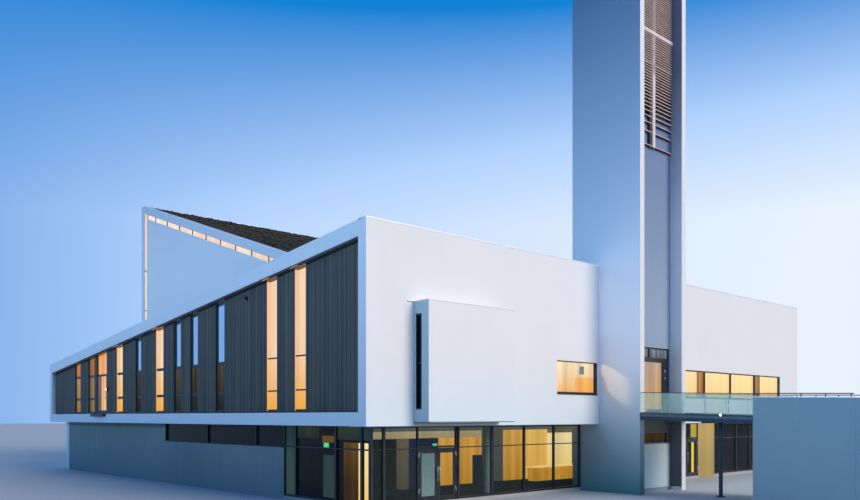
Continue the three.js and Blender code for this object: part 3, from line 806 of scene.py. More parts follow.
def slot_frame(near, far, look):
    """Stiles, sill, sloping head and transoms of one tall window."""
    lit = look == "lit"
    stile = 0.045 if look == "sky" else 0.03
    heavy = 0.06 if lit and near < 10 else 0.14
    top = slot_head(near)
    height = (SLOT_SILL, top)
    stiles = [bar(SLOT_FRAME, (near, near + stile), height, "bronze_frame" if lit else "frame_paint")]
    if not lit:
        stiles.append(bar(SLOT_FRAME, (far - stile, far), height))
    stiles = [cut(piece, slot_head(0), ROOF_FALL) for piece in stiles]
    head = lean(bar(SLOT_FRAME, (near, far), (top - 0.012, top), "bronze_frame"), ROOF_FALL, near)
    rails = [slot_bar(near, far, z, 0.06, heavy) for z in TRANSOMS]
    return stiles + [head, slot_bar(near, far, SLOT_SILL + 0.03, 0.08, 0.06)] + rails


def slot_panes(near, far, look):
    """The glass of one tall window, pane by pane; all but the sky and dark panes glow with painted light. A
    lit window shows the sheet behind it, which glows with painted lamplight.
    """
    finishes = {
        "lit": (),
        "sky": ("sky_glass", "brown_pane", "brown_pane"),
        "dim": ("dim_pane", "dim_low", "dim_low"),
        "door": ("exit_pane", "dark_glass", "dark_glass"),
    }[look]
    edges = (slot_head(near), TRANSOMS[1], TRANSOMS[0], SLOT_SILL)
    width = (near + 0.01, far - 0.01)
    panes = []
    for finish, top, foot in zip(finishes, edges, edges[1:]):
        panes.append(bar(SLOT_GLASS, width, (foot + 0.02, top - 0.005), finish, FINE))
    if panes:
        panes[0] = cut(panes[0], slot_head(0) - 0.01, ROOF_FALL)
    return panes


def slot_reveals(near, far, look):
    """Linings of the window's reveals: the far one glows with painted lamplight where the room behind is
    lit, and the others are dark with painted shade.
    """
    finish, start = ("lit_reveal", 0.222) if look == "lit" else ("dark_backing_and_shade", 0.305)
    height = (SLOT_SILL, slot_head(far) - 0.01)
    return [
        bar((start, SLOT_BACK), (far - 0.014, far - 0.002), height, finish, HAIR),
        bar((0.305, SLOT_BACK), (near + 0.002, near + 0.012), height, "dark_backing_and_shade", HAIR),
    ]


def exit_door(near, far):
    """The glazed door in the side wall with its pull handle and its small landing."""
    middle = near + 0.62 * (far - near)
    inner, outer = (near + 0.12, middle - 0.04), (middle + 0.04, far - 0.14)
    face, height = (0.22, 0.3), (3.7, 5.85)
    pane_face, pane_height = (0.23, 0.27), (3.86, 5.84)
    stiles = [(near, near + 0.12), (far - 0.14, far), about(middle, 0.04)]
    pieces = bars([(face, ys, height) for ys in stiles] + [(face, (inner[0], outer[1]), (3.7, 3.86))])
    # The door's panes glow with painted lamplight.
    pieces.append(bar(pane_face, inner, pane_height, "exit_pane", FINE))
    pieces.append(bar(pane_face, outer, pane_height, "exit_strip", FINE))
    pieces.append(rod((0.19, near + 0.2, 4.75), 0.014, 0.5, "Z", "bright_steel", 12))
    for zs in ((4.52, 4.55), (4.95, 4.98)):
        pieces.append(bar((0.16, 0.235), (near + 0.19, near + 0.21), zs, "bright_steel", FINE))
    landing = bar((-0.24, 0.2), (near - 0.45, far - 0.1), (3.5, 3.645), "deck_steel")
    return pieces + [landing]


def wall_lamps():
    """Box lamp beside the exit door and a small fitting high on the boards."""
    return [
        bar((0.06, 0.19), (24.22, 24.38), (4.98, 5.12)),
        bar((0.045, 0.062), (24.24, 24.36), (5.0, 5.1), "lamp_light", SOFT),
        bar((0.05, 0.19), (8.48, 8.64), (8.5, 8.64)),
        bar((0.1, 0.14), (8.52, 8.6), (8.46, 8.5), "bright_steel", SOFT),
    ]


def frame_underside():
    """Painted shade: a dark board under the sloping frame; and painted lamplight: glowing strips on the
    frame above the lit windows.
    """
    start = 0.42
    top = slot_head(start) - 0.003
    pieces = [lean(bar((0.004, 0.215), (start, 33.44), (top - 0.027, top)), ROOF_FALL, start)]
    for near, far, look in SLOTS:
        if look == "lit":
            head = slot_head(near)
            zs = (head - 0.012, head + 0.035)
            strip = bar((-0.006, 0.03), (near + 0.3, far + 0.02), zs, "lit_edge", FINE)
            pieces.append(lean(strip, ROOF_FALL, near))
    return pieces


def slot_windows():
    frames, panes, reveals = [], [], []
    for near, far, look in SLOTS:
        frames += slot_frame(near, far, look)
        panes += slot_panes(near, far, look)
        reveals += slot_reveals(near, far, look)
    both_sides(frames, "slot_frames")
    both_sides(panes, "slot_panes")
    both_sides(reveals, "slot_reveals")
    both_sides(frame_underside(), "frame_underside")


def side_exit():
    near, far = next(slot[:2] for slot in SLOTS if slot[2] == "door")
    both_sides(exit_door(near, far) + wall_lamps(), "side_exit")


# Edges of roofs and walls


def copings():
    """Thin caps on the edges of the roofs, the tower and the bay."""
    cap = "coping_metal"
    zs = (roof_top(0) - 0.035, roof_top(0) + 0.035)
    side = lean(bar((-0.02, 0.44), (0.42, 33.97), zs, cap), ROOF_FALL)
    slope = lean(bar((6.18, 6.62), (7.45, 33.46), (0.0, 0.05), cap), -HALL_FALL)
    slope.data.transform(Matrix.Translation((0, 0, (hall_top(0) - 0.01) * MODEL_SCALE)))
    both_sides([side], "side_coping")
    both_sides([slope], "hall_coping")
    front, back = (-0.02, 0.42), (33.44, 33.97)
    front_top, back_top = (10.485, 10.535), (6.865, 6.915)
    edges = (
        ((-0.02, 13.7), front, front_top),
        ((17.61, 35.32), front, front_top),
        ((6.18, 29.12), back, (18.38, 18.43)),
        ((0.44, 6.18), back, back_top),
        ((29.12, 34.86), back, back_top),
        ((13.7, 17.61), (-2.21, 1.54), (26.995, 27.04)),
        ((2.19, 6.88), (-0.86, -0.01), (7.73, 7.765)),
    )
    complete(bars(edges, cap), "edge_coping")


# Front windows and bay


def front_windows():
    sill, head = STRIP_WINDOW
    deep, flush, lining = (0.02, 0.155), (0.05, 0.155), (0.12, 0.156)
    span, light = (10.62, 13.58), (4.58, 5.94)
    left = [
        bar((10.62, 10.66), flush, light, "bronze_frame"),
        bar((13.47, 13.58), deep, light),
        bar(span, deep, (sill, light[0])),
        bar(span, deep, (light[1], head)),
        bar((10.66, 13.47), (0.09, 0.15), (4.58, 4.61), "bronze_frame"),
        # The panel glows with painted lamplight.
        bar((12.1, 13.45), (0.13, 0.156), (4.62, 5.28), "window_panel", FINE),
        bar((12.42, 12.72), lining, (5.42, 5.78), "teal_glass", FINE),
    ]
    right = window_frame((17.76, 32.78), STRIP_WINDOW, flush, 0.06)
    for x in (20.61, 23.57, 26.52, 29.47):
        right.append(bar(about(x, 0.035), flush, (4.57, 5.92)))
    # The curtain edges glow with painted lamplight.
    for curtain in ((19.9, 20.57), (22.87, 23.53), (29.52, 30.3)):
        right.append(bar(curtain, lining, (4.57, 5.92), "curtain_edge"))
    sills = bars([(xs, (-0.04, 0.155), (4.48, 4.515)) for xs in ((10.6, 13.6), (17.74, 32.8))])
    complete(left + right + sills, "front_window_frames")


def bay_details():
    xs, ys, zs = (2.2, 2.3), (-0.465, -0.14), (3.755, 7.27)
    slot = [
        (xs, (ys[0], ys[0] + 0.05), zs),
        (xs, (ys[1] - 0.05, ys[1]), zs),
        (xs, ys, (zs[0], zs[0] + 0.06)),
        (xs, ys, (zs[1] - 0.06, zs[1])),
        ((2.23, 2.3), ys, (5.45, 5.5)),
    ]
    complete(bars(slot), "bay_slot_frame")
    # Sheets over the bay's left side, in painted shade.
    sheet, foot, top = (2.198, 2.2095), 3.302, 7.727
    side = [
        (sheet, (-0.838, ys[0]), (foot, top)),
        (sheet, (ys[1], -0.003), (foot, top)),
        (sheet, ys, (foot, zs[0])),
        (sheet, ys, (zs[1], top)),
    ]
    complete(bars(side, "bay_render", HAIR), "bay_side_sheet")
    lip = (3.275, 3.315)
    # Painted shadow: a dark sheet under the bay, and dark strips on its lip and at the foot of its side;
    # painted warm light on the wall strip just below.
    under = [
        bar((2.3, 6.8), (-0.76, -0.01), (3.285, 3.298), "dark_backing_and_shade", SOFT),
        bar((2.2, 6.87), (-0.85, -0.8), lip, "plinth_shade", SOFT),
        bar((2.2, 2.24), (-0.85, -0.01), lip, "recess_shade", SOFT),
        bar((2.22, 6.85), (-0.012, -0.001), (3.2, 3.274), "painted_warm_light", FINE),
        bar((1.9, 2.6), (-0.06, 0.0), (7.73, 7.77), "coping_metal"),
    ]
    complete(under, "bay_underside")


# Tower


def tower_details():
    inner, bell_room = (14.055, 17.255), (17.52, 26.58)
    # Painted shade: a dark sheet behind the left part of the louvres; paler sheets behind the rest.
    sheets = [
        bar((inner[0], 15.5), (-1.535, -1.51), bell_room, "dark_backing_and_shade"),
        bar((15.5, inner[1]), (-1.535, -1.51), bell_room, "louvre_back"),
        bar(inner, (1.255, 1.275), bell_room, "louvre_back"),
    ]
    complete(sheets, "louvre_backing")
    behind, post = (-1.69, -1.565), (15.545, 15.715)
    # The dark strip left of the post is painted shadow; the post's front is pale low down, in the slat
    # colour in the middle and in painted shade high up.
    beams = [
        bar(inner, (-1.74, -1.7), (21.26, 21.43), "louvre_beam"),
        bar(inner, (-1.72, -1.7), (19.82, 19.9), "louvre_paint"),
        bar((15.3, 15.5), behind, (16.0, 26.55), "dark_backing_and_shade"),
        bar(post, (-1.73, -1.695), (16.02, 19.4), "louvre_post", SOFT),
        bar(post, (-1.728, -1.695), (19.4, 21.26), "louvre_paint", SOFT),
        bar((15.49, 15.77), (-1.722, -1.695), (21.43, 26.55), "post_shade", SOFT),
        bar((17.2, 17.24), behind, (16.0, 17.5), "louvre_back"),
    ]
    complete(beams, "louvre_beams")
    side, back, width, shaft = (17.24, 17.2595), (-1.575, -1.562), (14.07, 17.235), (3.66, 26.98)
    # Painted shade: dark linings on the slab's inner face below the deck and round the low window; the inner
    # face above darkens high up with painted shade. The white plates keep the slab fronts out of the tower
    # render's painted shade.
    lining = [
        bar(side, (-2.18, -1.565), (0.16, 3.34), "recess_shade", SOFT),
        bar(width, back, (0.16, 2.2), "white_render", SOFT),
        bar(side, (-2.195, -1.565), shaft, "inner_render", SOFT),
        bar(width, back, (2.76, 3.34), "recess_shade", SOFT),
        bar((17.005, 17.235), back, (2.22, 2.75), "recess_shade", SOFT),
    ]
    for xs in ((13.712, 14.048), (17.262, 17.598)):
        lining.append(bar(xs, (-2.206, -2.2003), shaft, "white_render", HAIR))
    complete(lining, "recess_lining")


# Bridge, ramp and bridge door


def along_deck(xs, ys, low, high, finish, bevel=0.006):
    """A bar that follows the fall of the deck, low and high measured from its top."""
    base = deck_top(ys[1])
    return lean(bar(xs, ys, (base + low, base + high), finish, bevel), -DECK_FALL, ys[1])


def guard_details(x_glass):
    """Shoe, handrail and joints of one glass guard."""
    ys = (BRIDGE_END + 0.01, TOWER_Y[0] - 0.01)
    pieces = [
        along_deck(about(x_glass, 0.045), ys, 0.0, 0.09, "deck_steel"),
        along_deck(about(x_glass, 0.028), ys, 0.955, 0.985, "deck_steel"),
    ]
    for index in range(1, 5):
        joint = about(ys[0] + index * (ys[1] - ys[0]) / 5, 0.008)
        pieces.append(along_deck(about(x_glass, 0.02), joint, 0.09, 0.955, "bright_steel", HAIR))
    return pieces


def bridge_planks(left, right):
    """Planks laid across the deck, following its fall."""
    pitch, width = 0.14, 0.13
    xs, ys = (left + 0.1, right - 0.1), (BRIDGE_END, BRIDGE_END + width)
    first = along_deck(xs, ys, 0.002, 0.025, "timber_boards")
    copies = []
    for index in range(1, 38):
        step = Vector((0, pitch * index, DECK_FALL * pitch * index)) * MODEL_SCALE
        copies.append(copy_of(first, Matrix.Translation(step)))
    return copies + [first]


def bridge_details():
    """Guards, edge beams, planks, ribs and the lamp of the bridge, and its column's plates."""
    left, right = TOWER_X
    ys = (BRIDGE_END, TOWER_Y[0] - 0.002)
    rails = guard_details(left + 0.045) + guard_details(right - 0.045)
    edges = []
    for face, out in ((left, -1), (right, 1)):
        edges.append(along_deck(sorted((face, face + out * 0.05)), ys, -0.09, 0.03, "edge_steel"))
        edges.append(along_deck(sorted((face, face + out * 0.02)), ys, -0.24, -0.1, "deck_steel"))
    planks = bridge_planks(left, right)
    width = (left + 0.35, right - 0.35)
    ribs = [along_deck(width, about(y, 0.05), -0.3, -0.241, "deck_steel") for y in (-6.9, -5.0, -3.2)]
    lamp = [
        rod((left - 0.06, -6.06, 3.56), 0.06, 0.1, "X", "frame_paint"),
        rod((left - 0.115, -6.06, 3.56), 0.05, 0.03, "X", "lamp_light"),
    ]
    column = [
        rod((15.655, -5.0, 0.03), 0.2, 0.06, "Z", "deck_steel", 24),
        rod((15.655, -5.0, 3.2), 0.14, 0.05, "Z", "deck_steel", 24),
    ]
    complete(rails, "guard_rails")
    complete(edges + ribs + lamp + column, "bridge_edges")
    complete(planks, "bridge_planks")


def ramp_details():
    top = 4.27
    fall = (top - 4.19) / (BRIDGE_END - RAMP_END)
    pieces = []
    for x in (TOWER_X[0] + 0.125, TOWER_X[1] - 0.125):
        cap = bar(about(x, 0.14), (RAMP_END - 0.01, BRIDGE_END), (4.255, 4.295), "coping_metal")
        rail = bar(about(x, 0.022), (RAMP_END + 0.1, BRIDGE_END), (4.4, 4.44), "deck_steel")
        pieces += [lean(piece, -fall, BRIDGE_END) for piece in (cap, rail)]
        for y in (-11.0, -10.1, -9.2, -8.3, -7.5):
            foot = top - fall * (BRIDGE_END - y)
            pieces.append(bar(about(x, 0.015), about(y, 0.02), (foot, foot + 0.15), "deck_steel"))
    complete(pieces, "ramp_rails")
    piers = [(xs, (-11.4, -11.2), (0.0, 4.185)) for xs in ((13.71, 14.0), (17.31, 17.6))]
    complete(bars(piers, "ramp_render"), "ramp_piers")


def bridge_door():
    ys = (RECESS + 0.02, RECESS + 0.098)
    inner, leaf = (14.37, 17.12), (3.72, 6.05)
    pieces = window_frame((14.3, 17.19), (3.65, 6.73), ys, 0.07)
    pieces += [
        bar(inner, ys, (6.05, 6.26)),
        bar((15.5, 15.56), ys, (6.26, 6.66)),
        # The fanlight glows with painted light.
        bar(inner, (RECESS + 0.085, RECESS + 0.095), (6.26, 6.66), "fanlight", HAIR),
        bar((14.3, 14.36), ys, leaf),
        bar((16.66, 17.12), ys, leaf),
        bar((15.42, 16.66), ys, (3.72, 3.84)),
    ]
    for z in (4.15, 5.3, 5.65):
        pieces.append(rod((16.83, RECESS + 0.005, z), 0.022, 0.13, "Z", "bright_steel", 12))
    flush = (RECESS - 0.004, RECESS + 0.098)
    pieces += window_frame((14.3, 17.0), (2.25, 2.75), flush, 0.04)
    pieces.append(bar((14.72, 14.9), ys, (2.29, 2.71)))
    complete(pieces, "bridge_door_frame")


# Lower storey

POST_FACE = (1.06, 1.148)
RAIL_FACE = (1.08, 1.148)
CORNER_POST = (1.06, 1.16)
POST_HEIGHT = (FLOOR, SOFFIT - 0.002)
FOOT_RAIL = (FLOOR, FLOOR + 0.09)
TRANSOM_RAIL = (2.22, 2.28)


def glazing_bars(posts, corner, stretches, transom, name):
    """Posts, each given by its middle and half width, and the rails of each stretch between them."""
    boxes = [(about(x, half), POST_FACE, POST_HEIGHT) for x, half in posts]
    boxes.append((corner, CORNER_POST, POST_HEIGHT))
    for stretch in stretches:
        boxes += [(stretch, RAIL_FACE, zs) for zs in (transom, (3.06, 3.148), FOOT_RAIL)]
    complete(bars(boxes), name)


def front_posts():
    posts = ((1.69, 0.06), (5.6, 0.055), (7.6, 0.075), (9.67, 0.06), (11.73, 0.055), (13.65, 0.055))
    glazing_bars(posts, CORNER_POST, ((1.16, 3.378), (5.542, 13.7)), (2.23, 2.27), "front_posts")


def court_posts():
    posts = [(x, 0.045) for x in (17.65, 19.5, 21.4, 23.31, 26.52, 29.2, 30.94, 32.6)]
    glazing_bars(posts, (34.14, 34.24), ((17.62, 23.358), (26.47, 34.2)), TRANSOM_RAIL, "court_posts")


def side_posts():
    posts = ((1.68, 0.05), (3.32, 0.06), (6.13, 0.04), (6.98, 0.04))
    boxes = [(POST_FACE, about(y, half), POST_HEIGHT) for y, half in posts]
    boxes += [(POST_FACE, about(y, 0.02), (2.19, POST_HEIGHT[1])) for y in (9.3, 13.9, 18.58)]
    boxes += [(RAIL_FACE, (1.2, 7.0), zs) for zs in (TRANSOM_RAIL, FOOT_RAIL)]
    boxes.append((RAIL_FACE, (1.2, 18.6), (3.1, 3.148)))
    boxes.append(((1.03, 1.148), (7.01, 18.6), (2.19, 2.24)))
    both_sides(bars(boxes), "side_posts")


def side_views():
    """What shows through the dark glass of the side: a partition, lit walls, a door and a sign, as sheets
    that glow with painted light.
    """
    high, tall = (2.6, 3.09), (0.24, 2.5)
    sheets = (
        ((6.17, 6.94), (0.24, 3.09), "side_teal"),
        ((3.4, 4.3), (2.48, 2.74), "side_brown"),
        ((3.5, 4.22), (0.3, 1.98), "side_teal"),
        ((4.5, 6.07), (2.62, 3.09), "side_olive"),
        ((1.75, 3.25), high, "side_olive"),
        ((1.92, 2.86), tall, "side_brown"),
        ((1.74, 1.92), tall, "room_bright"),
        ((1.33, 1.56), tall, "room_bright"),
        ((1.2, 1.62), high, "side_teal"),
    )
    views = [bar((1.139, 1.149), ys, zs, finish, HAIR) for ys, zs, finish in sheets]
    views.append(bar((1.128, 1.1385), (3.84, 4.18), (2.28, 2.46), "exit_plate", FINE))
    both_sides(views, "side_views")


def rooms():
    """Ceilings, partitions and lit walls seen through the lower glass, glowing with painted lamplight."""
    low, band, top, ceiling = 0.16, 2.47, 2.8, 3.08
    pieces = [
        bar((1.5, 13.6), (1.3, 6.0), (ceiling, 3.14), "room_band"),
        bar((17.7, 33.8), (1.3, 6.0), (ceiling, 3.14), "room_band"),
        bar((1.5, 33.8), (1.3, 6.0), (0.152, low), "room_dark", HAIR),
    ]
    walls = (
        ((1.5, 6.85), (low, band), "room_dark"),
        ((6.85, 9.08), (low, band), "room_navy"),
        ((1.5, 12.09), (band, top), "room_band"),
        ((1.5, 13.71), (top, ceiling), "room_grey"),
        ((9.08, 12.09), (low, band), "room_orange"),
        ((12.09, 13.71), (low, top), "room_grey"),
        ((13.71, 15.23), (low, top), "room_orange"),
        ((15.23, 17.3), (low, top), "room_yellow"),
        ((17.3, 19.5), (low, 2.6), "room_bright"),
        ((17.3, 19.5), (2.6, top), "room_pillar"),
        ((13.71, 33.8), (top, ceiling), "room_grey"),
        ((19.56, 23.4), (low, top), "room_grey"),
        ((23.4, 29.0), (low, top), "court_yellow"),
        ((29.0, 33.8), (low, top), "room_dark"),
    )
    pieces += [bar(xs, (6.0, 6.1), zs, finish) for xs, zs, finish in walls]
    pieces += [
        bar((33.7, 33.8), (1.3, 6.0), (low, ceiling), "room_dark"),
        bar((6.4, 6.85), (5.6, 5.95), (low, band), "room_pillar"),
        bar((10.9, 11.5), (5.0, 5.5), (low, 1.6), "room_navy"),
        bar((14.6, 18.6), (4.6, 5.1), (low, 0.85), "room_orange"),
        bar((14.5, 18.7), (4.5, 5.2), (0.85, 0.9), "room_bright"),
        bar((4.38, 4.62), (1.3, 1.32), (2.28, 2.42), "exit_plate", SOFT),
    ]
    complete(pieces, "lower_rooms")


def soffit_panels():
    """Panels under the overhang, left and right of the tower."""
    boxes = []
    for first, count in ((0.06, 11), (17.7, 14)):
        for index in range(count):
            start = first + 1.24 * index
            boxes.append(((start, start + 1.21), (0.06, 1.04), (3.125, 3.148)))
    complete(bars(boxes, "core_render"), "soffit_panels")


# Doors

HINGE_LENGTH = 0.09
HINGE_HEIGHTS = (0.35, 1.75)
HINGE_SHIFT = 0.0006
DOOR_HEAD = 2.265
DOOR_FACE = 1.1


def knuckles(jamb, toward, on_leaf):
    """Hinge knuckles on a frame, or on the leaf that lies on the side given by toward."""
    x = jamb + toward * 0.007
    far = x + (toward if on_leaf else -toward) * 0.037
    pieces = []
    for height in HINGE_HEIGHTS:
        start = FLOOR + height + (HINGE_LENGTH + HINGE_SHIFT if on_leaf else 0)
        middle = start + HINGE_LENGTH / 2
        pieces.append(rod((x, DOOR_FACE - 0.014, middle), 0.012, HINGE_LENGTH, "Z", "bright_steel", 12))
        zs = (start + 0.002, start + HINGE_LENGTH - 0.002)
        pieces.append(bar(sorted((x, far)), (1.082, 1.09), zs, "bright_steel", HAIR))
        xs = sorted((far, far - 0.012 * (1 if far > x else -1)))
        pieces.append(bar(xs, (1.082, 1.106), zs, "bright_steel", HAIR))
    return pieces


def door_frame(xs):
    """Stiles, head, top rail and the glazed light of a doorway."""
    ys, height = (DOOR_FACE, 1.2), (FLOOR + 0.001, SOFFIT - 0.001)
    inner = (xs[0] + 0.07, xs[1] - 0.07)
    boxes = [
        ((xs[0], inner[0]), ys, height),
        ((inner[1], xs[1]), ys, height),
        (inner, ys, (DOOR_HEAD, DOOR_HEAD + 0.07)),
        (inner, ys, (SOFFIT - 0.071, height[1])),
    ]
    light = (DOOR_HEAD + 0.06, SOFFIT - 0.06)
    return bars(boxes) + [bar((xs[0] + 0.06, xs[1] - 0.06), (1.14, 1.155), light, "clear_glass", FINE)]


def door_leaf(xs, pane):
    """Stiles and rails of a door leaf around its pane, with beads."""
    ys, low, high = (DOOR_FACE, 1.15), FLOOR + 0.016, DOOR_HEAD - 0.014
    stile, rail = 0.13, 0.18
    inner = (xs[0] + stile, xs[1] - stile)
    pieces = window_frame(xs, (low, high), ys, stile, rail)
    pane_xs, pane_zs = (inner[0] - 0.01, inner[1] + 0.01), (low + 0.17, high - 0.17)
    pieces.append(bar(pane_xs, (1.115, 1.135), pane_zs, pane, FINE))
    bead, bead_height = (inner[0] - 0.002, inner[1] + 0.002), (low + rail - 0.002, high - rail + 0.002)
    return pieces + window_frame(bead, bead_height, (1.106, 1.115), 0.018)


def pull_handle(x):
    ys = (DOOR_FACE - 0.07, DOOR_FACE)
    grip = rod((x, ys[0], 1.2), 0.014, 0.6, "Z", "bright_steel", 12)
    brackets = [(about(x, 0.01), ys, zs) for zs in ((0.98, 1.0), (1.4, 1.42))]
    return [grip] + bars(brackets, "bright_steel", FINE)


def doors():
    """Frames and leaves of the entrance and the court door, in the place of their plain solids."""
    entrance = door_frame((3.38, 5.54)) + knuckles(3.45, 1, False) + knuckles(5.47, -1, False)
    complete(entrance, "entrance_surround", replaces=["entrance_frame"])
    court = door_frame((23.36, 24.72)) + knuckles(24.65, -1, False)
    court.append(bar((23.43, 23.93), (1.12, 1.13), (2.335, 3.08), "dark_glass", FINE))
    # This pane glows with painted lamplight.
    court.append(bar((23.95, 24.58), (1.12, 1.13), (2.335, 3.08), "court_dim", FINE))
    complete(court, "court_surround", replaces=["court_frame"])
    left = door_leaf((3.464, 4.453), "teal_glass") + knuckles(3.45, 1, True) + pull_handle(4.405)
    complete(left, "entrance_leaf_glazed_left", "entrance_leaf_left", ["entrance_door_left"])
    right = door_leaf((4.467, 5.456), "clear_glass") + knuckles(5.47, -1, True) + pull_handle(4.515)
    replaced = ["entrance_door_right"]
    complete(right, "entrance_leaf_glazed_right", "entrance_leaf_right", replaced)
    leaf = door_leaf((23.444, 24.636), "clear_glass") + knuckles(24.65, -1, True) + pull_handle(23.49)
    # The yellow strip behind the leaf's pane glows with painted lamplight.
    strips = (((23.57, 24.0), "dark_glass"), ((24.0, 24.26), "court_yellow"), ((24.26, 24.51), "dark_glass"))
    leaf += [bar(xs, (1.107, 1.114), (0.34, 2.08), finish, HAIR) for xs, finish in strips]
    complete(leaf, "court_leaf_glazed", "court_leaf", ["court_door"])


# Hall


def hall_panes():
    """Outer panes of the high windows, set close to the wall's face, glowing with painted lamplight."""
    xs, near = (6.25, 6.27), 9.6
    sill = hall_sill(near)
    strip = lean(bar(xs, (near, 32.9), (sill, sill + HALL_PANE), "clerestory", FINE), -HALL_FALL, near)
    foot, top = roof_top(32.9), hall_top(33.45) - HALL_EDGE
    corner = bar(xs, (33.06, 33.455), (foot, top), "corner_strip", FINE)
    corner = cut(corner, hall_top(0) - HALL_EDGE, -HALL_FALL)
    both_sides([strip, corner], "hall_panes")


def hall_rail(xs, near, above, finish):
    """A rail that rises with the hall roof, at two heights above the foot of the windows."""
    zs = tuple(hall_sill(near) + part for part in above)
    return lean(bar(xs, (near, 32.9), zs, finish), -HALL_FALL, near)


def hall_glazing():
    hall_panes()
    pieces = []
    for index in range(12):
        y = 11.2 + 1.86 * index
        zs = (hall_sill(y), hall_sill(y) + HALL_PANE)
        pieces.append(bar((6.21, 6.28), about(y, 0.035), zs, "bronze_frame"))
    pieces.append(hall_rail((6.15, 6.2), 8.6, (-0.15, -0.09), "coping_metal"))
    pieces.append(hall_rail((6.22, 6.28), 9.6, (0.31, 0.335), "bronze_frame"))
    foot, top = roof_top(32.9), hall_top(33.2) - HALL_EDGE
    for share in (0.12, 0.37, 0.63):
        z = foot + share * (top - foot)
        pieces.append(bar((6.22, 6.28), (33.06, 33.45), about(z, 0.03), "bronze_frame"))
    pieces.append(bar((6.2, 6.28), (32.9, 33.06), (foot, top), "white_render"))
    both_sides(pieces, "hall_mullions")


def tuft(rng, size):
    """One clump of planting: a low faceted mound pulled out of shape."""
    deselect()
    bpy.ops.mesh.primitive_ico_sphere_add(subdivisions=1, radius=size * MODEL_SCALE)
    clump = bpy.context.object
    for point in clump.data.vertices:
        point.co *= rng.uniform(0.6, 1.35)
        point.co.z *= 0.55
    return paint(clump, "roof_planting")


def planting_mat(rng, xs, ys):
    """A rough mat over the hall roof, a few centimetres thick."""
    deselect()
    bpy.ops.mesh.primitive_grid_add(x_subdivisions=90, y_subdivisions=100, size=1)
    mat = bpy.context.object
    for point in mat.data.vertices:
        x = xs[0] + (point.co.x + 0.5) * (xs[1] - xs[0])
        y = ys[0] + (point.co.y + 0.5) * (ys[1] - ys[0])
        point.co = at(x, y, hall_top(y) + rng.uniform(0.01, 0.06))
    paint(mat, "roof_planting")
    edit_all(mat)
    bpy.ops.mesh.extrude_region_move(TRANSFORM_OT_translate={"value": (0, 0, -0.08)})
    bpy.ops.mesh.select_all(action="SELECT")
    bpy.ops.mesh.normals_make_consistent(inside=False)
    leave_edit()
    return mat


def planted_roof(sizes):
    """The mat and the clumps scattered over it, the same on each run."""
    rng = random.Random(7)
    xs, ys, margin = (6.65, 28.65), (8.0, 33.4), 0.2
    pieces = [planting_mat(rng, xs, ys)]
    clumps = [tuft(rng, 0.09), tuft(rng, 0.07), tuft(rng, 0.12)]
    for index in range(sizes.tufts):
        x = rng.uniform(xs[0] + margin, xs[1] - margin)
        y = rng.uniform(ys[0] + margin, ys[1] - margin)
        turn = Matrix.Rotation(rng.uniform(0, 6.28), 4, "Z")
        place = Matrix.Translation(at(x, y, hall_top(y) + 0.03))
        pieces.append(copy_of(clumps[index % 3], place @ turn))
    for clump in clumps:
        bpy.data.objects.remove(clump)
    complete(pieces, "planted_roof")


def seams(first, numbers, ys):
    """Welded seams down the fall of the flat roof, one membrane's width apart, clear of the tower."""
    zs = (roof_top(0) - 0.15, roof_top(0) - 0.115)
    places = [first + number * 0.96 for number in numbers]
    clear = [x for x in places if not TOWER_X[0] - 0.1 < x < TOWER_X[1] + 0.1]
    return [lean(bar(about(x, 0.02), ys, zs, "roof_membrane"), ROOF_FALL) for x in clear]


def roof_seams():
    both_sides(seams(0.42, range(1, 6), (0.5, 33.3)), "roof_seams")
    complete(seams(6.18, range(1, 24), (0.5, 7.4)), "roof_seams_front")


def back_windows():
    face, width, count, bar_width = (33.8, 33.9), 8.0, 5, 0.07
    pieces = []
    for zs in (STRIP_WINDOW, (1.05, 2.5)):
        for start in (3.6, 23.7):
            pieces += window_frame((start, start + width), zs, face, bar_width)
            light = (zs[0] + bar_width, zs[1] - bar_width)
            for index in range(1, count):
                pieces.append(bar(about(start + width / count * index, 0.03), face, light))
            sill = (zs[0] - 0.03, zs[0] + 0.005)
            pieces.append(bar((start - 0.03, start + width + 0.03), (33.8, 34.0), sill))
    complete(pieces, "back_window_frames")


# Stage, light and camera


def make_floor():
    deselect()
    bpy.ops.mesh.primitive_plane_add(size=400, location=(0, 0, -0.002))
    floor = settle(bpy.context.object)
    floor.name = "floor"
    material = bpy.data.materials.new("pale_floor")
    material.use_nodes = True
    shader = material.node_tree.nodes["Principled BSDF"]
    shader.inputs["Base Color"].default_value = (0.54, 0.60, 0.67, 1)
    shader.inputs["Roughness"].default_value = 0.9
    floor.data.materials.append(material)


def make_sun(name, energy, colour, azimuth, elevation, softness):
    """A soft light from a compass angle measured from the front towards the right."""
    deselect()
    bpy.ops.object.light_add(type="SUN", location=(0, 0, 30))
    lamp = bpy.context.object
    lamp.name = name
    lamp.data.energy = energy
    lamp.data.color = colour
    lamp.data.angle = math.radians(softness)
    lamp.rotation_euler = (math.radians(90 - elevation), 0, math.radians(azimuth))


def make_panel_light(name, watts, colour, place, size, turn):
    """A soft rectangular light that the camera doesn't see."""
    deselect()
    bpy.ops.object.light_add(type="AREA", location=at(*place), rotation=turn)
    lamp = bpy.context.object
    lamp.name = name
    lamp.data.shape = "RECTANGLE"
    lamp.data.size, lamp.data.size_y = (part * MODEL_SCALE for part in size)
    lamp.data.energy = watts
    lamp.data.color = colour
    lamp.visible_camera = False
    return lamp


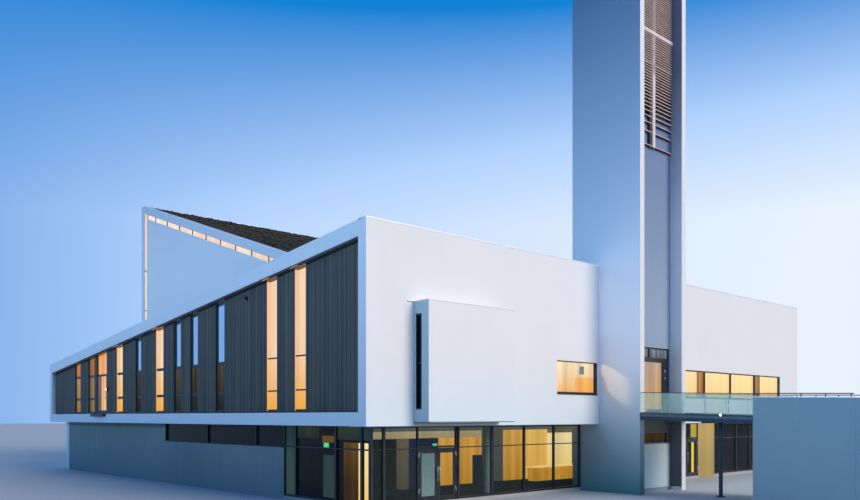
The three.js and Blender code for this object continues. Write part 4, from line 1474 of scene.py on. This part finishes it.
def make_lamps():
    """A broad warm light from the front, a cool one from the left and two small warm ones."""
    right = (math.radians(90), 0, math.radians(-90))
    down = (math.radians(40), 0, 0)
    aslant = Vector((0.4, -0.72, -0.52)).to_track_quat("-Z", "Y").to_euler()
    make_sun("key", 2.4, (1.0, 0.84, 0.67), azimuth=14, elevation=24, softness=35)
    fill = make_panel_light(
        "fill", watts=600, colour=(0.38, 0.67, 1.0), place=(-40, 10, 12), size=(100, 3), turn=right
    )
    fill.data.spread = math.radians(42)
    spill = make_panel_light(
        "window_glow",
        watts=0.42,
        colour=(1.0, 0.68, 0.34),
        place=(13.33, -0.11, 5.5),
        size=(0.84, 1.1),
        turn=aslant,
    )
    spill.data.spread = math.radians(14)
    make_panel_light(
        "under_bridge",
        watts=1.5,
        colour=(1.0, 0.75, 0.4),
        place=(15.6, -2.6, 3.2),
        size=(2.4, 0.4),
        turn=down,
    )


def make_world(stage):
    """A plain blue backdrop, paler low down and on the right, and a soft light, deeper on the left."""
    world = bpy.data.worlds.new("Studio")
    bpy.context.scene.world = world
    world.use_nodes = True
    tree = world.node_tree
    axes = split(tree, add(tree, "ShaderNodeTexCoord").outputs["Generated"])
    height = spread(tree, axes["Z"], 0.228, 0.453, 1.0, 0.0)
    side = spread(tree, axes["X"], 0.222, 0.907, 0.258, 1.0)
    paleness = combine(tree, "MULTIPLY", height, side)
    upper = blend(tree, spread(tree, paleness, 0.0, 0.5), (*stage.zenith, 1.0), (*stage.middle, 1.0))
    sky = blend(tree, spread(tree, paleness, 0.5, 1.0), upper, (*stage.horizon, 1.0))
    across = spread(tree, axes["X"], -0.5, 0.2)
    soft = blend(tree, across, (*stage.ambient_left, 1.0), (*stage.ambient, 1.0))
    path = add(tree, "ShaderNodeLightPath").outputs
    seen = combine(tree, "MAXIMUM", path["Is Camera Ray"], path["Is Glossy Ray"])
    tree.links.new(blend(tree, seen, soft, sky), tree.nodes["Background"].inputs["Color"])


def make_camera(stage):
    deselect()
    turn = (math.radians(90), 0, -stage.camera_turn)
    bpy.ops.object.camera_add(location=CAMERA_PLACE, rotation=turn)
    camera = bpy.context.object
    camera.data.lens = CAMERA_LENS
    camera.data.sensor_width = 36
    camera.data.shift_y = CAMERA_SHIFT
    camera.data.clip_end = 500
    bpy.context.scene.camera = camera


class ChurchSizes(bpy.types.PropertyGroup):
    board_pitch: FloatProperty(
        name="Board pitch", description="Distance from board to board on the timber sides, real size",
        default=0.14, unit="LENGTH",
    )
    board_gap: FloatProperty(
        name="Board gap", description="Open joint between two boards, real size",
        default=0.014, unit="LENGTH",
    )
    tufts: IntProperty(
        name="Clumps", description="Number of clumps of planting on the hall roof", default=1800
    )


class ChurchColours(bpy.types.PropertyGroup):
    render: FloatVectorProperty(
        name="Render", description="Colour of the rendered walls",
        subtype="COLOR", default=(0.84, 0.86, 0.90),
    )
    timber_light: FloatVectorProperty(
        name="Board, light", description="Paler tone of the boards",
        subtype="COLOR", default=(0.150, 0.127, 0.098),
    )
    timber_dark: FloatVectorProperty(
        name="Board, dark", description="Darker tone of the boards",
        subtype="COLOR", default=(0.044, 0.055, 0.058),
    )
    frame: FloatVectorProperty(
        name="Frames", description="Colour of the window and door frames",
        subtype="COLOR", default=(0.012, 0.016, 0.024),
    )
    lamplight: FloatVectorProperty(
        name="Lamplight", description="Colour of the lit rooms", subtype="COLOR", default=(0.85, 0.45, 0.09)
    )
    planting: FloatVectorProperty(
        name="Planting", description="Colour of the leaves on the hall roof",
        subtype="COLOR", default=(0.066, 0.080, 0.056),
    )


class ChurchStage(bpy.types.PropertyGroup):
    zenith: FloatVectorProperty(
        name="Backdrop, high", description="Backdrop colour high up",
        subtype="COLOR", default=(0.006, 0.225, 0.67),
    )
    middle: FloatVectorProperty(
        name="Backdrop, middle", description="Backdrop colour between high and low",
        subtype="COLOR", default=(0.45, 0.656, 1.0),
    )
    horizon: FloatVectorProperty(
        name="Backdrop, low", description="Backdrop colour near the floor",
        subtype="COLOR", default=(0.80, 0.89, 0.985),
    )
    ambient: FloatVectorProperty(
        name="Soft light", description="Colour of the soft light from all around",
        subtype="COLOR", default=(0.215, 0.335, 0.50),
    )
    ambient_left: FloatVectorProperty(
        name="Soft light, left", description="Colour of the soft light from the left",
        subtype="COLOR", default=(0.06, 0.18, 0.42),
    )
    camera_turn: FloatProperty(
        name="Camera turn", description="Angle that the camera is turned to the right",
        default=math.radians(42.5), subtype="ANGLE",
    )


class CHURCH_OT_finishes(bpy.types.Operator):
    """Makes the shared shader groups and the materials, and dresses the CAD nodes"""

    bl_idname = "church.finishes"
    bl_label = "Finishes"

    def execute(self, context):
        for make in (mottle_group, board_group, glow_group, metal_group, slat_group, planting_group):
            make()
        colours = context.scene.church_colours
        make_render(colours)
        make_paints(colours)
        make_glass()
        make_upper_lights()
        make_lower_lights(colours)
        dress_cad()
        return {"FINISHED"}


class CHURCH_OT_stage(bpy.types.Operator):
    """Sets the floor, the backdrop, the lights and the camera"""

    bl_idname = "church.stage"
    bl_label = "Stage"

    def execute(self, context):
        context.scene.view_settings.view_transform = "Standard"
        make_floor()
        make_world(context.scene.church_stage)
        make_lamps()
        make_camera(context.scene.church_stage)
        return {"FINISHED"}


class CHURCH_OT_timber(bpy.types.Operator):
    """Lays the upright boards and sills on both timber sides"""

    bl_idname = "church.timber"
    bl_label = "Timber sides"

    def execute(self, context):
        timber_cladding(context.scene.church_sizes)
        return {"FINISHED"}


class CHURCH_OT_slots(bpy.types.Operator):
    """Builds the tall windows of the sides, their reveals and the edge above them"""

    bl_idname = "church.slots"
    bl_label = "Slot windows"

    def execute(self, context):
        slot_windows()
        return {"FINISHED"}


class CHURCH_OT_side_exit(bpy.types.Operator):
    """Builds the glazed door in each side, its landing and the lamps on the boards"""

    bl_idname = "church.side_exit"
    bl_label = "Side exit"

    def execute(self, context):
        side_exit()
        return {"FINISHED"}


class CHURCH_OT_copings(bpy.types.Operator):
    """Caps the edges of the roofs and of the tower"""

    bl_idname = "church.copings"
    bl_label = "Copings"

    def execute(self, context):
        copings()
        return {"FINISHED"}


class CHURCH_OT_front(bpy.types.Operator):
    """Frames the two strips of windows in the front and hangs the curtain edges"""

    bl_idname = "church.front"
    bl_label = "Front windows"

    def execute(self, context):
        front_windows()
        return {"FINISHED"}


class CHURCH_OT_bay(bpy.types.Operator):
    """Builds the bay's slot window, its side sheets and its underside"""

    bl_idname = "church.bay"
    bl_label = "Bay"

    def execute(self, context):
        bay_details()
        return {"FINISHED"}


class CHURCH_OT_tower(bpy.types.Operator):
    """Builds the sheets behind the louvres, the beams before them and the recess lining"""

    bl_idname = "church.tower"
    bl_label = "Tower"

    def execute(self, context):
        tower_details()
        return {"FINISHED"}


class CHURCH_OT_bridge(bpy.types.Operator):
    """Builds the bridge's rails, edges, planks and lamp"""

    bl_idname = "church.bridge"
    bl_label = "Bridge"

    def execute(self, context):
        bridge_details()
        return {"FINISHED"}


class CHURCH_OT_ramp(bpy.types.Operator):
    """Builds the rails, caps and end piers of the ramp"""

    bl_idname = "church.ramp"
    bl_label = "Ramp"

    def execute(self, context):
        ramp_details()
        return {"FINISHED"}


class CHURCH_OT_bridge_door(bpy.types.Operator):
    """Frames the door at the bridge and the low window under it"""

    bl_idname = "church.bridge_door"
    bl_label = "Bridge door"

    def execute(self, context):
        bridge_door()
        return {"FINISHED"}


class CHURCH_OT_lower(bpy.types.Operator):
    """Builds the posts and rails of the lower glazing and what shows through its sides"""

    bl_idname = "church.lower"
    bl_label = "Lower glazing"

    def execute(self, context):
        front_posts()
        court_posts()
        side_posts()
        side_views()
        return {"FINISHED"}


class CHURCH_OT_rooms(bpy.types.Operator):
    """Builds the ceilings, walls and signs seen through the lower glass"""

    bl_idname = "church.rooms"
    bl_label = "Lower rooms"

    def execute(self, context):
        rooms()
        return {"FINISHED"}


class CHURCH_OT_soffit(bpy.types.Operator):
    """Lays the panels under the overhang"""

    bl_idname = "church.soffit"
    bl_label = "Soffit"

    def execute(self, context):
        soffit_panels()
        return {"FINISHED"}


class CHURCH_OT_doors(bpy.types.Operator):
    """Builds the glazed leaves and frames of the entrance and of the court door"""

    bl_idname = "church.doors"
    bl_label = "Doors"

    def execute(self, context):
        doors()
        return {"FINISHED"}


class CHURCH_OT_hall(bpy.types.Operator):
    """Builds the panes, mullions and sill of the hall's high windows"""

    bl_idname = "church.hall"
    bl_label = "Hall windows"

    def execute(self, context):
        hall_glazing()
        return {"FINISHED"}


class CHURCH_OT_planting(bpy.types.Operator):
    """Plants the sloping hall roof"""

    bl_idname = "church.planting"
    bl_label = "Planted roof"

    def execute(self, context):
        planted_roof(context.scene.church_sizes)
        return {"FINISHED"}


class CHURCH_OT_seams(bpy.types.Operator):
    """Lays the welded seams of the flat roof"""

    bl_idname = "church.seams"
    bl_label = "Roof seams"

    def execute(self, context):
        roof_seams()
        return {"FINISHED"}


class CHURCH_OT_back(bpy.types.Operator):
    """Frames the windows of the back wall"""

    bl_idname = "church.back"
    bl_label = "Back windows"

    def execute(self, context):
        back_windows()
        return {"FINISHED"}


STEPS = (
    CHURCH_OT_finishes,
    CHURCH_OT_stage,
    CHURCH_OT_timber,
    CHURCH_OT_slots,
    CHURCH_OT_side_exit,
    CHURCH_OT_copings,
    CHURCH_OT_front,
    CHURCH_OT_bay,
    CHURCH_OT_tower,
    CHURCH_OT_bridge,
    CHURCH_OT_ramp,
    CHURCH_OT_bridge_door,
    CHURCH_OT_lower,
    CHURCH_OT_rooms,
    CHURCH_OT_soffit,
    CHURCH_OT_doors,
    CHURCH_OT_hall,
    CHURCH_OT_planting,
    CHURCH_OT_seams,
    CHURCH_OT_back,
)


class CHURCH_PT_steps(bpy.types.Panel):
    """Lists the building steps and the values that a user may change"""

    bl_idname = "CHURCH_PT_steps"
    bl_label = "Church"
    bl_space_type = "VIEW_3D"
    bl_region_type = "UI"
    bl_category = "Church"

    def draw(self, context):
        for step in STEPS:
            self.layout.operator(step.bl_idname)
        for group in (context.scene.church_sizes, context.scene.church_colours, context.scene.church_stage):
            box = self.layout.box()
            for name in group.bl_rna.properties.keys():
                if name not in ("name", "rna_type"):
                    box.prop(group, name)


CLASSES = (ChurchSizes, ChurchColours, ChurchStage, *STEPS, CHURCH_PT_steps)


def register():
    for item in CLASSES:
        bpy.utils.register_class(item)
    bpy.types.Scene.church_sizes = PointerProperty(type=ChurchSizes)
    bpy.types.Scene.church_colours = PointerProperty(type=ChurchColours)
    bpy.types.Scene.church_stage = PointerProperty(type=ChurchStage)


def unregister():
    del bpy.types.Scene.church_sizes
    del bpy.types.Scene.church_colours
    del bpy.types.Scene.church_stage
    for item in reversed(CLASSES):
        bpy.utils.unregister_class(item)


def main():
    register()
    bpy.ops.church.finishes()
    bpy.ops.church.stage()
    bpy.ops.church.timber()
    bpy.ops.church.slots()
    bpy.ops.church.side_exit()
    bpy.ops.church.copings()
    bpy.ops.church.front()
    bpy.ops.church.bay()
    bpy.ops.church.tower()
    bpy.ops.church.bridge()
    bpy.ops.church.ramp()
    bpy.ops.church.bridge_door()
    bpy.ops.church.lower()
    bpy.ops.church.rooms()
    bpy.ops.church.soffit()
    bpy.ops.church.doors()
    bpy.ops.church.hall()
    bpy.ops.church.planting()
    bpy.ops.church.seams()
    bpy.ops.church.back()


if __name__ == "__main__":
    main()
